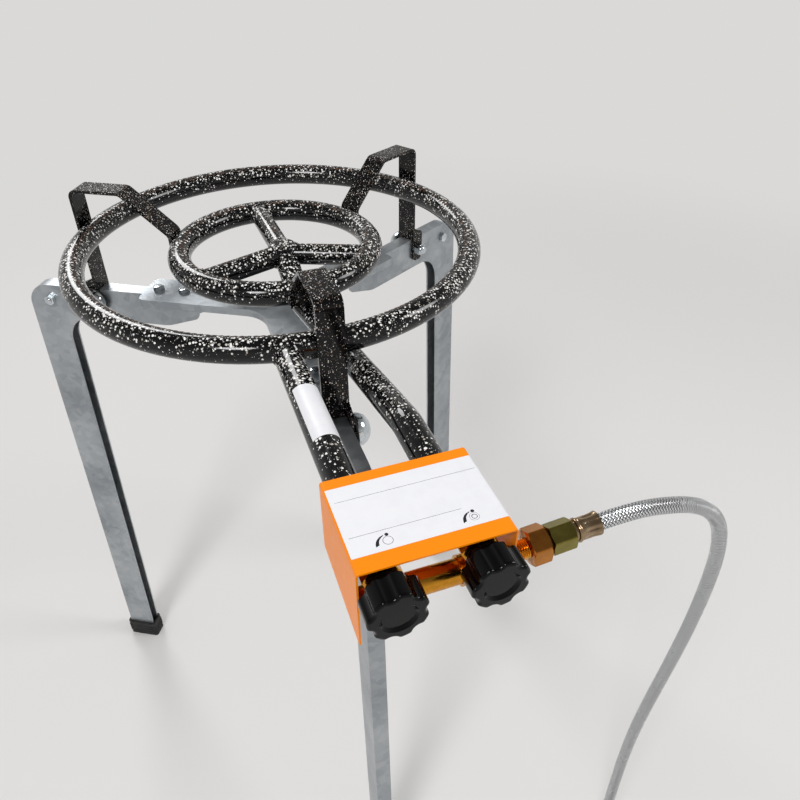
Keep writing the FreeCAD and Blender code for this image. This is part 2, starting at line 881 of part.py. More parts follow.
def injector(side, x):
    # Plugs the tube's end and carries the jet that blows gas into it
    body = newBody(f"{side}_injector")
    flats = sketchOn(body, "XY_Plane")
    hexagon(flats, s.injectorAcross)
    pad(body, flats, s.injectorThick)
    for across, length in ((tubeBore - s.plugClear * 2, s.injectorPlug), (s.jetAcross, s.injectorPlug + s.jetLong)):
        stem = sketchOn(body, "XY_Plane")
        circle(stem, 0, 0, across)
        pad(body, stem, length, back=True)
    bore = sketchOn(body, "XY_Plane", s.injectorThick)
    circle(bore, 0, 0, s.jetBore)
    pocket(body, bore, through=True)
    towardsUser(body, x, s.feedReach)


def tapBody(side, x):
    body = newBody(f"{side}_tap_body")
    block = sketchOn(body, "XY_Plane")
    half = s.tapWide / 2
    outline(block, [
        (-half, -half, s.tapRound),
        (half, -half, s.tapRound),
        (half, half, s.tapRound),
        (-half, half, s.tapRound),
    ])
    pad(body, block, s.tapLong)
    neck = sketchOn(body, "XY_Plane", s.tapLong)
    circle(neck, 0, 0, s.neckAcross)
    pad(body, neck, s.neckLong)
    bore = sketchOn(body, "XY_Plane", s.tapLong + s.neckLong)
    circle(bore, 0, 0, s.plugAcross + s.plugClear * 2)
    pocket(body, bore, s.plugLong + s.neckLong)
    outlet = sketchOn(body, "XY_Plane", s.tapLong)
    circle(outlet, 0, 0, s.portAcross)
    pocket(body, outlet, through=True)
    towardsUser(body, x, s.feedReach + s.injectorThick)


def glandNut(side, x):
    body = newBody(f"{side}_gland_nut")
    flats = sketchOn(body, "XY_Plane")
    hexagon(flats, s.glandAcross)
    pad(body, flats, s.neckLong + s.glandLip)
    rounded(body, "Chamfer", s.threadGroove, lambda edge: edge.BoundBox.ZMin > number(s.neckLong))
    inside = sketchOn(body, "XY_Plane", s.neckLong)
    circle(inside, 0, 0, s.neckAcross)
    pocket(body, inside, s.neckLong)
    lip = sketchOn(body, "XY_Plane", s.neckLong + s.glandLip)
    circle(lip, 0, 0, s.spindleAcross + s.seatGap * 2)
    pocket(body, lip, through=True)
    towardsUser(body, x, tapFront)


def tapPlug(side, x):
    # The plug that opens the gas way, with a socket for the spindle and its spring
    body = newBody(f"{side}_tap_plug")
    barrel = sketchOn(body, "XY_Plane")
    circle(barrel, 0, 0, s.plugAcross)
    pad(body, barrel, s.plugLong)
    socket = sketchOn(body, "XY_Plane", s.plugLong)
    circle(socket, 0, 0, s.spindleAcross + s.spindleClear * 2)
    pocket(body, socket, s.plugLong - s.portAcross)
    port = sketchOn(body, "YZ_Plane")
    circle(port, 0, s.portAcross / 2, s.portAcross / 2)
    pocket(body, port, s.plugAcross * 2, middle=True)
    towardsUser(body, x, plugBack)


plugBack = tapFront + s.neckLong - s.seatGap - s.plugLong
springBack = plugBack + s.portAcross
spindleBack = springBack + s.springLong


def returnSpring(side, x):
    outer = cylinder(s.springAcross, s.springLong, x, -springBack, tapZ, (0, -1, 0))
    inner = cylinder(s.springInner, s.springLong, x, -springBack, tapZ, (0, -1, 0))
    named(joined("Cut", outer, inner), f"{side}_return_spring")


def spindle(side, x):
    body = newBody(f"{side}_spindle")
    rod = sketchOn(body, "XY_Plane")
    length = knobReach + s.knobBore - spindleBack
    circle(rod, 0, 0, s.spindleAcross)
    pad(body, rod, length)
    flat = sketchOn(body, "XY_Plane", length)
    outline(flat, [
        (s.spindleFlat, -s.spindleAcross),
        (s.spindleAcross, -s.spindleAcross),
        (s.spindleAcross, s.spindleAcross),
        (s.spindleFlat, s.spindleAcross),
    ])
    pocket(body, flat, s.knobBore)
    towardsUser(body, x, spindleBack)


def knob(side, x):
    # Moulded knob with a collar, seven lobes, a dished face and a round bore
    body = newBody(f"{side}_knob")
    profile = sketchOn(body, "XZ_Plane")
    radius = s.knobAcross / 2
    collar = s.knobCollarAcross / 2
    dish = s.knobDish / 2
    outline(profile, [
        (0, 0),
        (collar, 0),
        (collar, s.knobCollar),
        (radius, s.knobCollar),
        (radius, s.knobLong),
        (dish, s.knobLong),
        (dish - s.knobDishDeep, s.knobLong - s.knobDishDeep),
        (0, s.knobLong - s.knobDishDeep),
    ])
    revolved(body, profile)
    groove = sketchOn(body, "XY_Plane", s.knobLong)
    circle(groove, radius + s.knobScallop - s.knobScallopDeep, 0, s.knobScallop * 2)
    cut = pocket(body, groove, s.knobLong)
    pattern = body.newObject("PartDesign::PolarPattern", "Lobes")
    pattern.Originals = [cut]
    pattern.Axis = (groove, ["N_Axis"])
    pattern.Angle = 360
    bind(pattern, "Occurrences", s.knobLobes)
    body.Tip = pattern
    beyond = number(collar + s.knobDishDeep)
    rounded(body, "Fillet", s.knobLobeRound, lambda edge: (
        edge.Curve.TypeId == "Part::GeomLine" and reachOf(edge) > beyond))
    front = number(s.knobLong) - 0.01
    rounded(body, "Fillet", s.knobEdge, lambda edge: (
        edge.BoundBox.ZMin > front and reachOf(edge) > beyond))
    bore = sketchOn(body, "XY_Plane")
    circle(bore, 0, 0, s.spindleAcross)
    pocket(body, bore, s.knobBore, back=True)
    towardsUser(body, x, knobReach)


def reachOf(edge):
    # Distance of an edge's middle from the turning axis
    return math.hypot(edge.CenterOfMass.x, edge.CenterOfMass.y)


for side, x in taps.items():
    injector(side, x)
    tapBody(side, x)
    glandNut(side, x)
    tapPlug(side, x)
    returnSpring(side, x)
    spindle(side, x)
    knob(side, x)


# Manifold: a turned brass bar with a domed right end and a boss up to each tap
def manifold():
    body = newBody("gas_manifold")
    bar = s.manifoldAcross / 2
    dome = s.ballAcross / 2
    profile = sketchOn(body, "XZ_Plane")
    outline(profile, [
        (0, -s.manifoldLeft),
        (bar, -s.manifoldLeft),
        (bar, s.manifoldRight - s.ballBehind),
        (dome, s.manifoldRight - s.ballBehind),
        (dome, s.manifoldRight + dome, s.ballRound),
        (0, s.manifoldRight + dome),
    ])
    revolved(body, profile)
    bosses = sketchOn(body, "YZ_Plane")
    for x in taps.values():
        circle(bosses, s.bossShift, x, s.bossAcross)
    pad(body, bosses, s.manifoldDrop - s.tapDrop - s.tapWide / 2, back=True)
    place(body, 0, -manifoldReach, -s.manifoldDrop, turned((1, 0, 0)))


manifold()


# Inlet, along one axis that rises a little from the ball
turn, rise = (math.radians(number(size)) for size in (s.inletTurn, s.inletRise))
inletWay = Vector(math.cos(turn) * math.cos(rise), math.sin(turn) * math.cos(rise), math.sin(rise))
ballCentre = spotOf(s.manifoldRight, -manifoldReach, -s.manifoldDrop)


def alongInlet(item, distance):
    spot = ballCentre + inletWay * number(distance)
    item.Placement = Placement(spot, turned(inletWay))


def inletStub():
    # Short pipe with a thread on its outer half
    inner = number(s.stubBore) / 2
    outer = number(s.stubAcross) / 2
    groove = number(s.threadGroove)
    start = number(s.stubStart)
    end = number(s.stubLong)
    profile = [Vector(inner, 0, start), Vector(outer, 0, start)]
    pitch = number(s.threadPitch)
    ridges = int((end - start) / 2 / pitch)
    for i in range(ridges):
        height = end - (ridges - i) * pitch
        profile += [Vector(outer, 0, height), Vector(outer - groove, 0, height + pitch / 2)]
    profile += [Vector(outer, 0, end), Vector(inner, 0, end)]
    face = Part.Face(Part.makePolygon(profile + profile[:1]))
    stub = face.revolve(Vector(), Vector(0, 0, 1), 360)
    stub.Placement = Placement(ballCentre, turned(inletWay))
    doc.recompute()
    feature("inlet_stub", stub.cut(doc.getObject("gas_manifold").Shape))


def inletHex(node, across, start, thick, bore):
    body = newBody(node)
    flats = sketchOn(body, "XY_Plane")
    hexagon(flats, across)
    pad(body, flats, thick)
    hole = sketchOn(body, "XY_Plane", thick)
    circle(hole, 0, 0, bore)
    pocket(body, hole, through=True)
    alongInlet(body, start)


def ferrule(node, start, way):
    # Crimped sleeve with a collar, turned about its own axis
    body = newBody(node)
    profile = sketchOn(body, "XZ_Plane")
    radius = s.ferruleAcross / 2
    outline(profile, [
        (0, 0),
        (s.ferruleNeck / 2, 0),
        (s.ferruleNeck / 2, s.collarThick),
        (radius, s.collarThick),
        (radius, s.collarThick * 2),
        (s.ferruleWaist / 2, s.collarThick * 3),
        (s.ferruleWaist / 2, s.ferruleLong - s.collarThick),
        (radius, s.ferruleLong),
        (0, s.ferruleLong),
    ])
    revolved(body, profile)
    body.Placement = Placement(start, turned(way))


inletStub()
inletHex("union_nut", s.hexAcross, s.hexStart, s.hexThick, s.stubAcross)
adapterStart = s.hexStart + s.hexThick
inletHex("hose_adapter", s.adapterAcross, adapterStart, s.adapterThick, s.stubBore)
ferruleStart = adapterStart + s.adapterThick
ferrule("hose_ferrule", ballCentre + inletWay * number(ferruleStart), inletWay)


# Hood: folded sheet with a top, two cheeks and a slotted back that sits over the feed tubes
def hood():
    body = newBody("control_hood")
    width = s.hoodLeft + s.hoodRight
    cheek = sketchOn(body, "YZ_Plane", -s.hoodLeft)
    outline(cheek, [
        (-hoodBack, s.hoodTop),
        (-hoodFront, s.hoodTop),
        (-hoodFront, -s.hoodFrontDrop),
        (-hoodBack, -s.hoodBackDrop),
    ])
    pad(body, cheek, width)
    top = number(s.hoodTop)
    rounded(body, "Fillet", s.hoodBend, lambda edge: (
        edge.BoundBox.ZMin > top - 0.01 and edge.BoundBox.XLength < 0.01))
    inside = sketchOn(body, "YZ_Plane", s.hoodRight - s.hoodSheet)
    outline(inside, [
        (-hoodBack - s.hoodSheet, s.hoodTop - s.hoodSheet),
        (-hoodFront - s.hoodSheet, s.hoodTop - s.hoodSheet),
        (-hoodFront - s.hoodSheet, -s.hoodFrontDrop - s.hoodTop),
        (-hoodBack - s.hoodSheet, -s.hoodFrontDrop - s.hoodTop),
    ])
    pocket(body, inside, width - s.hoodSheet * 2)
    slots = sketchOn(body, "XZ_Plane", hoodBack - s.hoodSheet)
    half = s.feedTube / 2 + s.seatGap
    for x in taps.values():
        outline(slots, [
            (x - half, -s.hoodFrontDrop),
            (x + half, -s.hoodFrontDrop),
            (x + half, tapZ + half, half * 0.98),
            (x - half, tapZ + half, half * 0.98),
        ])
    pocket(body, slots, s.hoodSheet * 4, middle=True)
    inlet = sketchOn(body, "YZ_Plane", s.hoodRight)
    circle(inlet, -manifoldReach, -s.manifoldDrop, s.inletHole)
    pocket(body, inlet, s.hoodSheet * 2, middle=True)
    place(body, 0, 0, 0)


hood()


# Hose: the free length runs from the ferrule to the coil on the floor.
hoseStart = ballCentre + inletWay * number(ferruleStart + s.ferruleLong)
coilCentre = Vector(number(s.coilSide), -number(s.coilForward), 0)
hoseRoute = [
    tuple(hoseStart),
    tuple(hoseStart + inletWay * number(s.hoseLead)),
    (160, -285, 674),
    (196, -283, 660),
    (224, -279, 631),
    (241, -275, 588),
    (249, -271, 534),
    (252, -267.5, 474),
    (251, -264, 412),
    (248.5, -260.5, 350),
    (247.5, -257.5, 292),
    (249, -255.5, 234),
    (251, -255, 178),
    (252.3, -255.6, 132),
    (252.9, -256.6, 94),
]


def hoseTube():
    points = [Vector(*point) for point in hoseRoute] + coilLead()
    radii = []
    for i in range(1, len(points) - 1):
        back = points[i - 1] - points[i]
        ahead = points[i + 1] - points[i]
        turnHalf = (math.pi - back.getAngle(ahead)) / 2
        radii.append(0.45 * min(back.Length, ahead.Length) / math.tan(turnHalf))
    print("hose radii:", ", ".join(f"{radius:.0f}" for radius in radii))
    wire = polyRoute(points, radii)
    feature("hose", roundBar(wire, number(s.hoseAcross)))
    return wire.Length


# Coil: in and out again in two layers, climbing in the half turn where the spiral reverses.
def coilSpot(turns):
    # Point and direction after a number of turns
    radius, height = coilRadius(turns), coilHeight(turns)
    angle = -2 * math.pi * turns
    return coilCentre + Vector(radius * math.cos(angle), radius * math.sin(angle), height)


def coilRadius(turns):
    layer = number(s.coilTurns)
    return number(s.coilInner) + number(s.coilStep) * abs(layer - turns)


def coilHeight(turns):
    layer = number(s.coilTurns)
    climb = min(max((turns - layer + 0.25) / 0.5, 0), 1)
    climb = climb * climb * (3 - 2 * climb)
    return number(s.hoseAcross) / 2 + number(s.coilLayer) * climb


def coilTangent(turns):
    step = 0.002
    return (coilSpot(turns + step) - coilSpot(turns - step)).normalize()


def coilLead():
    # Last points of the free hose: a quarter turn onto the floor, behind the coil, and into it
    back = -coilTangent(0)
    entry = coilSpot(0) + back * number(s.hoseAcross)
    landing = number(s.hoseLanding)
    corner = landing / math.cos(math.radians(15))
    runIn = landing * math.tan(math.radians(15))
    points = []
    for degrees in (15, 45, 75):
        angle = math.radians(degrees)
        rise = Vector(0, 0, landing - corner * math.sin(angle))
        points.append(entry + back * (runIn + corner * math.cos(angle)) + rise)
    return points + [entry]


def biarc(start, way, end, leave):
    # Two circular arcs from one point and direction to another
    gap = end - start
    sumWay = way + leave
    square = 2 * (1 - way.dot(leave))
    along = gap.dot(sumWay)
    reach = (math.sqrt(along ** 2 + square * gap.dot(gap)) - along) / square
    first, second = start + way * reach, end - leave * reach
    middle = (first + second) * 0.5
    return [arcBetween(start, way, middle), arcBetween(middle, (second - first).normalize(), end)]


def arcBetween(start, way, end):
    chord = end - start
    normal = way.cross(chord).normalize()
    inward = normal.cross(way)
    radius = chord.Length ** 2 / (2 * chord.dot(inward))
    centre = start + inward * radius
    bulge = ((start + end) * 0.5 - centre).normalize()
    return Part.Arc(start, centre + bulge * abs(radius), end).toShape()


def coilTube():
    total = number(s.coilTurns) * 2
    straight = number(s.hoseAcross)
    edges = [Part.LineSegment(coilSpot(0) - coilTangent(0) * straight, coilSpot(0)).toShape()]
    for quarter in range(int(total * 4)):
        a, b = quarter / 4, (quarter + 1) / 4
        edges += biarc(coilSpot(a), coilTangent(a), coilSpot(b), coilTangent(b))
    finish = coilSpot(total) + coilTangent(total) * number(s.tailStraight)
    edges.append(Part.LineSegment(coilSpot(total), finish).toShape())
    wire = Part.Wire(edges)
    feature("hose_coil", roundBar(wire, number(s.hoseAcross)))
    samples = wire.discretize(Number=160)
    apart = int(number(s.hoseAcross) * 4 / wire.Length * len(samples))
    least = min((samples[i] - samples[j]).Length
                for i in range(len(samples)) for j in range(i + apart, len(samples)))
    print(f"hose coil: least gap between turns {least - number(s.hoseAcross):.2f}")
    return wire.Length, finish, coilTangent(total)


hoseLength = hoseTube()
coilLength, tailStart, tailWay = coilTube()
print(f"hose length in all {hoseLength + coilLength:.0f}")


# Far end of the hose: a ferrule and the nut that goes on the gas regulator
def cylinderNut():
    body = newBody("regulator_nut")
    flats = sketchOn(body, "XY_Plane")
    hexagon(flats, s.nutAcross)
    pad(body, flats, s.nutLong)
    hole = sketchOn(body, "XY_Plane", s.nutLong)
    circle(hole, 0, 0, s.nutBore)
    pocket(body, hole, s.nutDeep)
    body.Placement = Placement(tailStart + tailWay * number(s.ferruleLong), turned(tailWay))


ferrule("tail_ferrule", tailStart, tailWay)
cylinderNut()

# Check every object, then write one file for each piece.
doc.recompute()
for item in doc.Objects:
    if "Invalid" in item.State or "Error" in item.State:
        raise SystemExit(f"{item.Name} ({item.Label}) has failed: {item.State}")
os.makedirs("parts", exist_ok=True)
for item in pieces:
    shape = item.Shape
    if shape.isNull() or not shape.isValid():
        raise SystemExit(f"{item.Label} has no valid shape")
    shape.exportStep(f"parts/{item.Label}.step")
print(f"{len(pieces)} pieces written")
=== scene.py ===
import json
import math
import random
from functools import partial

import bpy
from mathutils import Vector
from mathutils.bvhtree import BVHTree

# Propane burner stand: enamelled ring burners, orange tap hood, brass inlet, braided hose and zinc legs.
# The frame gives the solids; this script adds finishes and fine pieces.
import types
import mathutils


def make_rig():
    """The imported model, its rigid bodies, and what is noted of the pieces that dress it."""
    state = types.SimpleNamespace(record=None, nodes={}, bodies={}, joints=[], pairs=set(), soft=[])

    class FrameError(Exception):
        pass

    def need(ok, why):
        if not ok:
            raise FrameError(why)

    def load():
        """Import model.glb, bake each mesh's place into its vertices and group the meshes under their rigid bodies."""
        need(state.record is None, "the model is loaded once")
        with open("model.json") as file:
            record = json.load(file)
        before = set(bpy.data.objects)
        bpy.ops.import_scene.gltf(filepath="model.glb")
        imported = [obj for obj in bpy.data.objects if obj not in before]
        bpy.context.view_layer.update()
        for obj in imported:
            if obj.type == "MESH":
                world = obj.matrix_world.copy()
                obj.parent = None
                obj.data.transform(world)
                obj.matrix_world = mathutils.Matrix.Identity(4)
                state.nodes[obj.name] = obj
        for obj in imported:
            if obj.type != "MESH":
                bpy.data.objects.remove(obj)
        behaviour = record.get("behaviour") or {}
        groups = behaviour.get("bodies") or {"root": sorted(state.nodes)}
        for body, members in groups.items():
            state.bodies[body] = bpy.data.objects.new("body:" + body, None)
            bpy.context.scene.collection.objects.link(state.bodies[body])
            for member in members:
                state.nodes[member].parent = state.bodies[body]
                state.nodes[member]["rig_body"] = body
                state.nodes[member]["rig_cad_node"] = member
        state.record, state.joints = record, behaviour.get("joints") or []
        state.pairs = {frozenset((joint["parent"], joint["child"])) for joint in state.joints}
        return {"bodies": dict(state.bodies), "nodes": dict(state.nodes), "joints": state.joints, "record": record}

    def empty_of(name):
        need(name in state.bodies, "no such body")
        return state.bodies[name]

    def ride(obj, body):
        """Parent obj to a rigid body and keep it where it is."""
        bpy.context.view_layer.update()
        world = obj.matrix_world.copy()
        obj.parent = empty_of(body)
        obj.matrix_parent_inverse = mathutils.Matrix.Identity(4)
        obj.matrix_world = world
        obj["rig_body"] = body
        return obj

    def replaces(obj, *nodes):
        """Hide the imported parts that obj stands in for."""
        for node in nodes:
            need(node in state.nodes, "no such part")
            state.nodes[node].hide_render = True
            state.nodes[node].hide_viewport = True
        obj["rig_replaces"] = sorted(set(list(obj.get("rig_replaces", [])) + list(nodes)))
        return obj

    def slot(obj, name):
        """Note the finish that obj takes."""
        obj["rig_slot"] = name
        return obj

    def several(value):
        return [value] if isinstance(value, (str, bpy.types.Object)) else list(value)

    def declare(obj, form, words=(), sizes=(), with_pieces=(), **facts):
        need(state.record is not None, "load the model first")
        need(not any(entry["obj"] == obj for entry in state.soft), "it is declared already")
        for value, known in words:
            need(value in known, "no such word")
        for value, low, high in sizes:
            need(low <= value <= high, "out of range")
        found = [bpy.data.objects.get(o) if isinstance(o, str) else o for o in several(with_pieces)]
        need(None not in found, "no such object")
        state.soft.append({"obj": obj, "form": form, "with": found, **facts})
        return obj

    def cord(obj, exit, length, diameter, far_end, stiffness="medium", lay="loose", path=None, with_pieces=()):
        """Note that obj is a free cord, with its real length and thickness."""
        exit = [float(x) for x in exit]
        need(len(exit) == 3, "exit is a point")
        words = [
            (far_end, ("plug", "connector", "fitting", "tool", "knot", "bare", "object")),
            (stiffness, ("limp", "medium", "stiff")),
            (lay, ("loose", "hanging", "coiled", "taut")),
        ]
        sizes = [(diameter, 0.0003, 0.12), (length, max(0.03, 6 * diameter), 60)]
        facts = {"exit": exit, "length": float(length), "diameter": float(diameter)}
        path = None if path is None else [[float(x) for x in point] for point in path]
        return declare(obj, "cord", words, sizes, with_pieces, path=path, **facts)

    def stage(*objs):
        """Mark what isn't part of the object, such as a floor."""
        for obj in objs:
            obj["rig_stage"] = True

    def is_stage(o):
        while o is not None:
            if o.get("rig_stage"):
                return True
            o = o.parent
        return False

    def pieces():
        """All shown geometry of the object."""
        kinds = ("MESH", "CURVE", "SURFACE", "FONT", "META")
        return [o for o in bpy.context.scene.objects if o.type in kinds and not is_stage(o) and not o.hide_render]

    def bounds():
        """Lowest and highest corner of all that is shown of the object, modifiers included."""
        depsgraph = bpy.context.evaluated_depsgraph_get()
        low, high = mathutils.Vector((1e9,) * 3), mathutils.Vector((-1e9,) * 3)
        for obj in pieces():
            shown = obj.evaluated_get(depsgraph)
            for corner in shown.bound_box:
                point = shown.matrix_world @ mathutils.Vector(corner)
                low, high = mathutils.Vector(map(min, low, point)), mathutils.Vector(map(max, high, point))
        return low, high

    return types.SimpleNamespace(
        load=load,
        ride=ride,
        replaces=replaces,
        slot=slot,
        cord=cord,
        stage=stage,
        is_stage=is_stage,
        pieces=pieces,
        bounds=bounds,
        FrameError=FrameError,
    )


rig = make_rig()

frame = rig.load()
cadLow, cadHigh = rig.bounds()
mm = 0.001
zAxis = Vector((0, 0, 1))
sides = {"front": -90, "right": 30, "left": 150}  # degrees of the three arms
burner = {
    "height": 700,  # mm, as are the others: from the floor to the outer ring's middle line
    "back": 123,  # from the origin to the rings' axis
    "outerRing": 189,  # radius of its middle line
    "innerRing": 93,
    "innerDrop": 4.5,  # how much lower the inner ring and spokes lie
    "tube": 11,  # radius of the rings' and feeds' tubes
}
print("frame loaded:", len(frame["nodes"]), "nodes")


def linear(code):
    # sRGB hex to linear RGBA
    channels = [int(code[i:i + 2], 16) / 255 for i in (1, 3, 5)]
    return tuple(c / 12.92 if c <= 0.04045 else ((c + 0.055) / 1.055) ** 2.4 for c in channels) + (1,)


def perMm(size):
    # Texture scale whose pattern repeats about every so many mm
    return 1 / (size * mm)


def spotAt(x, y, z):
    # Point in metres from mm counted from the rings' axis at the outer ring's height
    return Vector((x, y + burner["back"], z + burner["height"])) * mm


def roundAxis(angle, reach, aside=0, z=0):
    # The same, at a distance along an arm and to its left
    angle = math.radians(angle)
    x = reach * math.cos(angle) - aside * math.sin(angle)
    y = reach * math.sin(angle) + aside * math.cos(angle)
    return spotAt(x, y, z)


def wayOf(angle):
    return Vector((math.cos(math.radians(angle)), math.sin(math.radians(angle)), 0))


def axesOf(way):
    # Two directions square to a third, turned the way the solids are
    turn = zAxis.rotation_difference(way)
    return turn @ Vector((1, 0, 0)), turn @ Vector((0, 1, 0))


def blend(a, b, share):
    return a + (b - a) * share


def newObject(name, data):
    item = bpy.data.objects.new(name, data)
    bpy.context.scene.collection.objects.link(item)
    return item


def addNode(tree, kind, inputs=(), output=0, **settings):
    # One shader node with its settings and links, which gives the socket that the next node reads.
    # Inputs are a row in the node's own order or a dictionary; a socket is linked, the rest is set.
    # A Mix node has its factor at 0 and its numbers at 2 and 3, or its colours at 6 and 7 and output 2.
    node = tree.nodes.new("ShaderNode" + kind)
    for name, value in settings.items():
        setattr(node, name, value)
    for name, value in inputs.items() if isinstance(inputs, dict) else enumerate(inputs):
        if isinstance(value, bpy.types.NodeSocket):
            tree.links.new(value, node.inputs[name])
        else:
            node.inputs[name].default_value = linear(value) if isinstance(value, str) else value
    return node.outputs[output] if len(node.outputs) else None


def newMaterial(name, colour, metallic=0.0, specular=0.5):
    # A material, what adds its nodes, and the place on the object that its patterns read
    material = bpy.data.materials.new(name)
    material.use_nodes = True
    shader = material.node_tree.nodes["Principled BSDF"]
    shader.inputs["Base Color"].default_value = linear(colour)
    shader.inputs["Metallic"].default_value = metallic
    shader.inputs["Specular IOR Level"].default_value = specular
    add = partial(addNode, material.node_tree)
    return material, add, add("TexCoord", output="Object")


def patterned(material, colour, roughness, normal):
    # The same material with its patterns linked to the shader
    tree = material.node_tree
    shader = tree.nodes["Principled BSDF"]
    for name, socket in (("Base Color", colour), ("Roughness", roughness), ("Normal", normal)):
        tree.links.new(socket, shader.inputs[name])
    return material


def meshPiece(name, points, faces, slot, finish=None, body="root", sharp=35):
    # One free piece with its slot's finish or another, smooth but for edges over so many degrees
    mesh = bpy.data.meshes.new(name)
    mesh.from_pydata([tuple(p) for p in points], [], faces)
    mesh.validate()
    mesh.polygons.foreach_set("use_smooth", [True] * len(mesh.polygons))
    if sharp:
        mesh.set_sharp_from_angle(angle=math.radians(sharp))
    mesh.materials.append(finishes[finish or slot])
    piece = newObject(name, mesh)
    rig.ride(piece, body)
    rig.slot(piece, slot)
    return piece


class Shape:
    # Points and faces gathered for one piece
    def __init__(self):
        self.points, self.faces = [], []

    def add(self, points, faces):
        first = len(self.points)
        self.points += points
        self.faces += [tuple(first + i for i in face) for face in faces]

    def piece(self, name, slot, finish=None, sharp=35):
        return meshPiece(name, self.points, self.faces, slot, finish, sharp=sharp)


def ringFaces(count, around, loop=False):
    # Quads between rings of points, with a cap at each end or joined end to end
    faces = []
    for i in range(count if loop else count - 1):
        a, b = i * around, (i + 1) % count * around
        for j in range(around):
            k = (j + 1) % around
            faces.append((a + j, a + k, b + k, b + j))
    if not loop:
        faces += [tuple(reversed(range(around))), tuple(range((count - 1) * around, count * around))]
    return faces


def tubeMesh(path, radiusAt, around, closed=False):
    # Skin round a path: radiusAt(step) gives the radius; the first direction across is carried along
    points = []
    count = len(path)
    across = None
    for i, spot in enumerate(path):
        ahead = path[(i + 1) % count] if closed or i < count - 1 else spot
        behind = path[i - 1] if closed or i > 0 else spot
        way = (ahead - behind).normalized()
        across = axesOf(way)[0] if across is None else (across - way * across.dot(way)).normalized()
        up = way.cross(across)
        for j in range(around):
            angle = 2 * math.pi * j / around
            points.append(spot + (across * math.cos(angle) + up * math.sin(angle)) * radiusAt(i))
    return points, ringFaces(count, around, loop=closed)


def spun(rings, centre, way, around=48, loop=False):
    # Rings about an axis; each is (radius, height) in mm, a number or a function of the angle
    across, up = axesOf(way)
    points = []
    for radius, height in rings:
        for j in range(around):
            angle = 2 * math.pi * j / around
            r = radius(angle) if callable(radius) else radius
            h = height(angle) if callable(height) else height
            points.append(centre + (across * math.cos(angle) * r + up * math.sin(angle) * r + way * h) * mm)
    return points, ringFaces(len(rings), around, loop)


def hexRings(across, low, high, face=0.95, slope=0.5, corner=1.125):
    # Hexagon with chamfered ends. Face and corner are the radii of its round end faces and its clipped
    # corners, as shares of half its width, and slope is the chamfer's.
    def radius(angle):
        part = (angle + 1e-9) % (math.pi / 3) - math.pi / 6
        return across / 2 * min(1 / math.cos(part), corner)

    def cut(angle):
        return (radius(angle) - across / 2 * face) * slope

    return [
        (across / 2 * face, low),
        (radius, lambda angle: low + cut(angle)),
        (radius, lambda angle: high - cut(angle)),
        (across / 2 * face, high),
    ]


def threadRings(radius, low, high, pitch, depth, steps=8):
    # Rings of a screw thread, so many for each pitch, which the ridge climbs in a turn
    def ridge(height):
        def at(angle):
            phase = (height / pitch - angle / (2 * math.pi)) % 1
            return radius - depth * abs(2 * phase - 1)
        return at

    count = max(2, round((high - low) / pitch * steps))
    heights = [blend(low, high, i / count) for i in range(count + 1)]
    return [(ridge(height), height) for height in heights]


# Camera at the photograph's angle
camera = {
    "spot": (-0.1096, -0.5339, 1.0094),
    "turn": (52.47, 0, -19.99),  # degrees
    "lens": 32.46,
    "nearest": 0.01,  # metres
}


def makeCamera():
    data = bpy.data.cameras.new("camera")
    data.lens = camera["lens"]
    data.clip_start = camera["nearest"]
    item = newObject("camera", data)
    item.location = camera["spot"]
    item.rotation_euler = [math.radians(a) for a in camera["turn"]]
    bpy.context.scene.camera = item


makeCamera()
print("camera placed")

noiseSpan = (0.3, 0.7)  # most of a noise pattern's values lie in it


# Speckled enamel: black glass fired onto steel and spattered with white; deep gloss, round flecks that
# stand a little proud, and a faint orange peel. The brackets have a finer spatter, with flecks painted
# duller and browner for the warm light and shade on them.
enamel = {
    "black": "#070708",
    "wobble": {"Scale": perMm(1.5), "Detail": 1},  # bends in the flecks' outlines
    "bend": 0.5 * mm,  # and how far they bend
    "patch": {"Scale": perMm(45)},  # where the spatter lies thicker or thinner
    "least": 0.05,  # chances under this give no fleck
    "edge": 9,  # how sharply a fleck ends
    "film": {"Scale": perMm(12), "Detail": 4},  # changes of gloss
    "gloss": (0.07, 0.15),
    "fleckRough": 0.22,  # what a fleck adds to the roughness
    "peel": {"Scale": perMm(3.5)},
    "fleckRise": 0.5,  # and to the peel's height
    "bump": {"Strength": 0.2, "Distance": 0.15 * mm},
    "thinning": (-0.25, -0.1, -0.44, 0),  # Y in metres, from the taps back, and what each adds to a chance
}
spatters = {
    # Large and small flecks: mm between them, and their largest radius. Each draws a chance that sets its
    # size, and patches and faces that look up add to it; the extra flecks on faces that look up are painted light,
    # lighter tops where the light falls and darker undersides in shade. Another chance runs over tones, dull to
    # bright.
    "speckled_enamel": {
        "large": (2.6, 1.2),
        "small": (1.6, 0.42),
        "bright": "#FAF8F3",
        "dull": "#A9A296",
        "tones": (0.05, 0.4),
        "patches": (-0.3, 0.12),
        "upward": 0.48,
        "specular": 0.36,
    },
    # Painted shade: the brackets' flecks are duller and browner for the warm light and shade on them
    "bracket_enamel": {
        "large": (1.7, 0.64),
        "small": (1.2, 0.32),
        "bright": "#E9E2DC",
        "dull": "#7A6248",
        "tones": (0.15, 0.7),
        "patches": (-0.12, 0.2),
        "upward": 0.22,
        "specular": 0.24,
    },
}


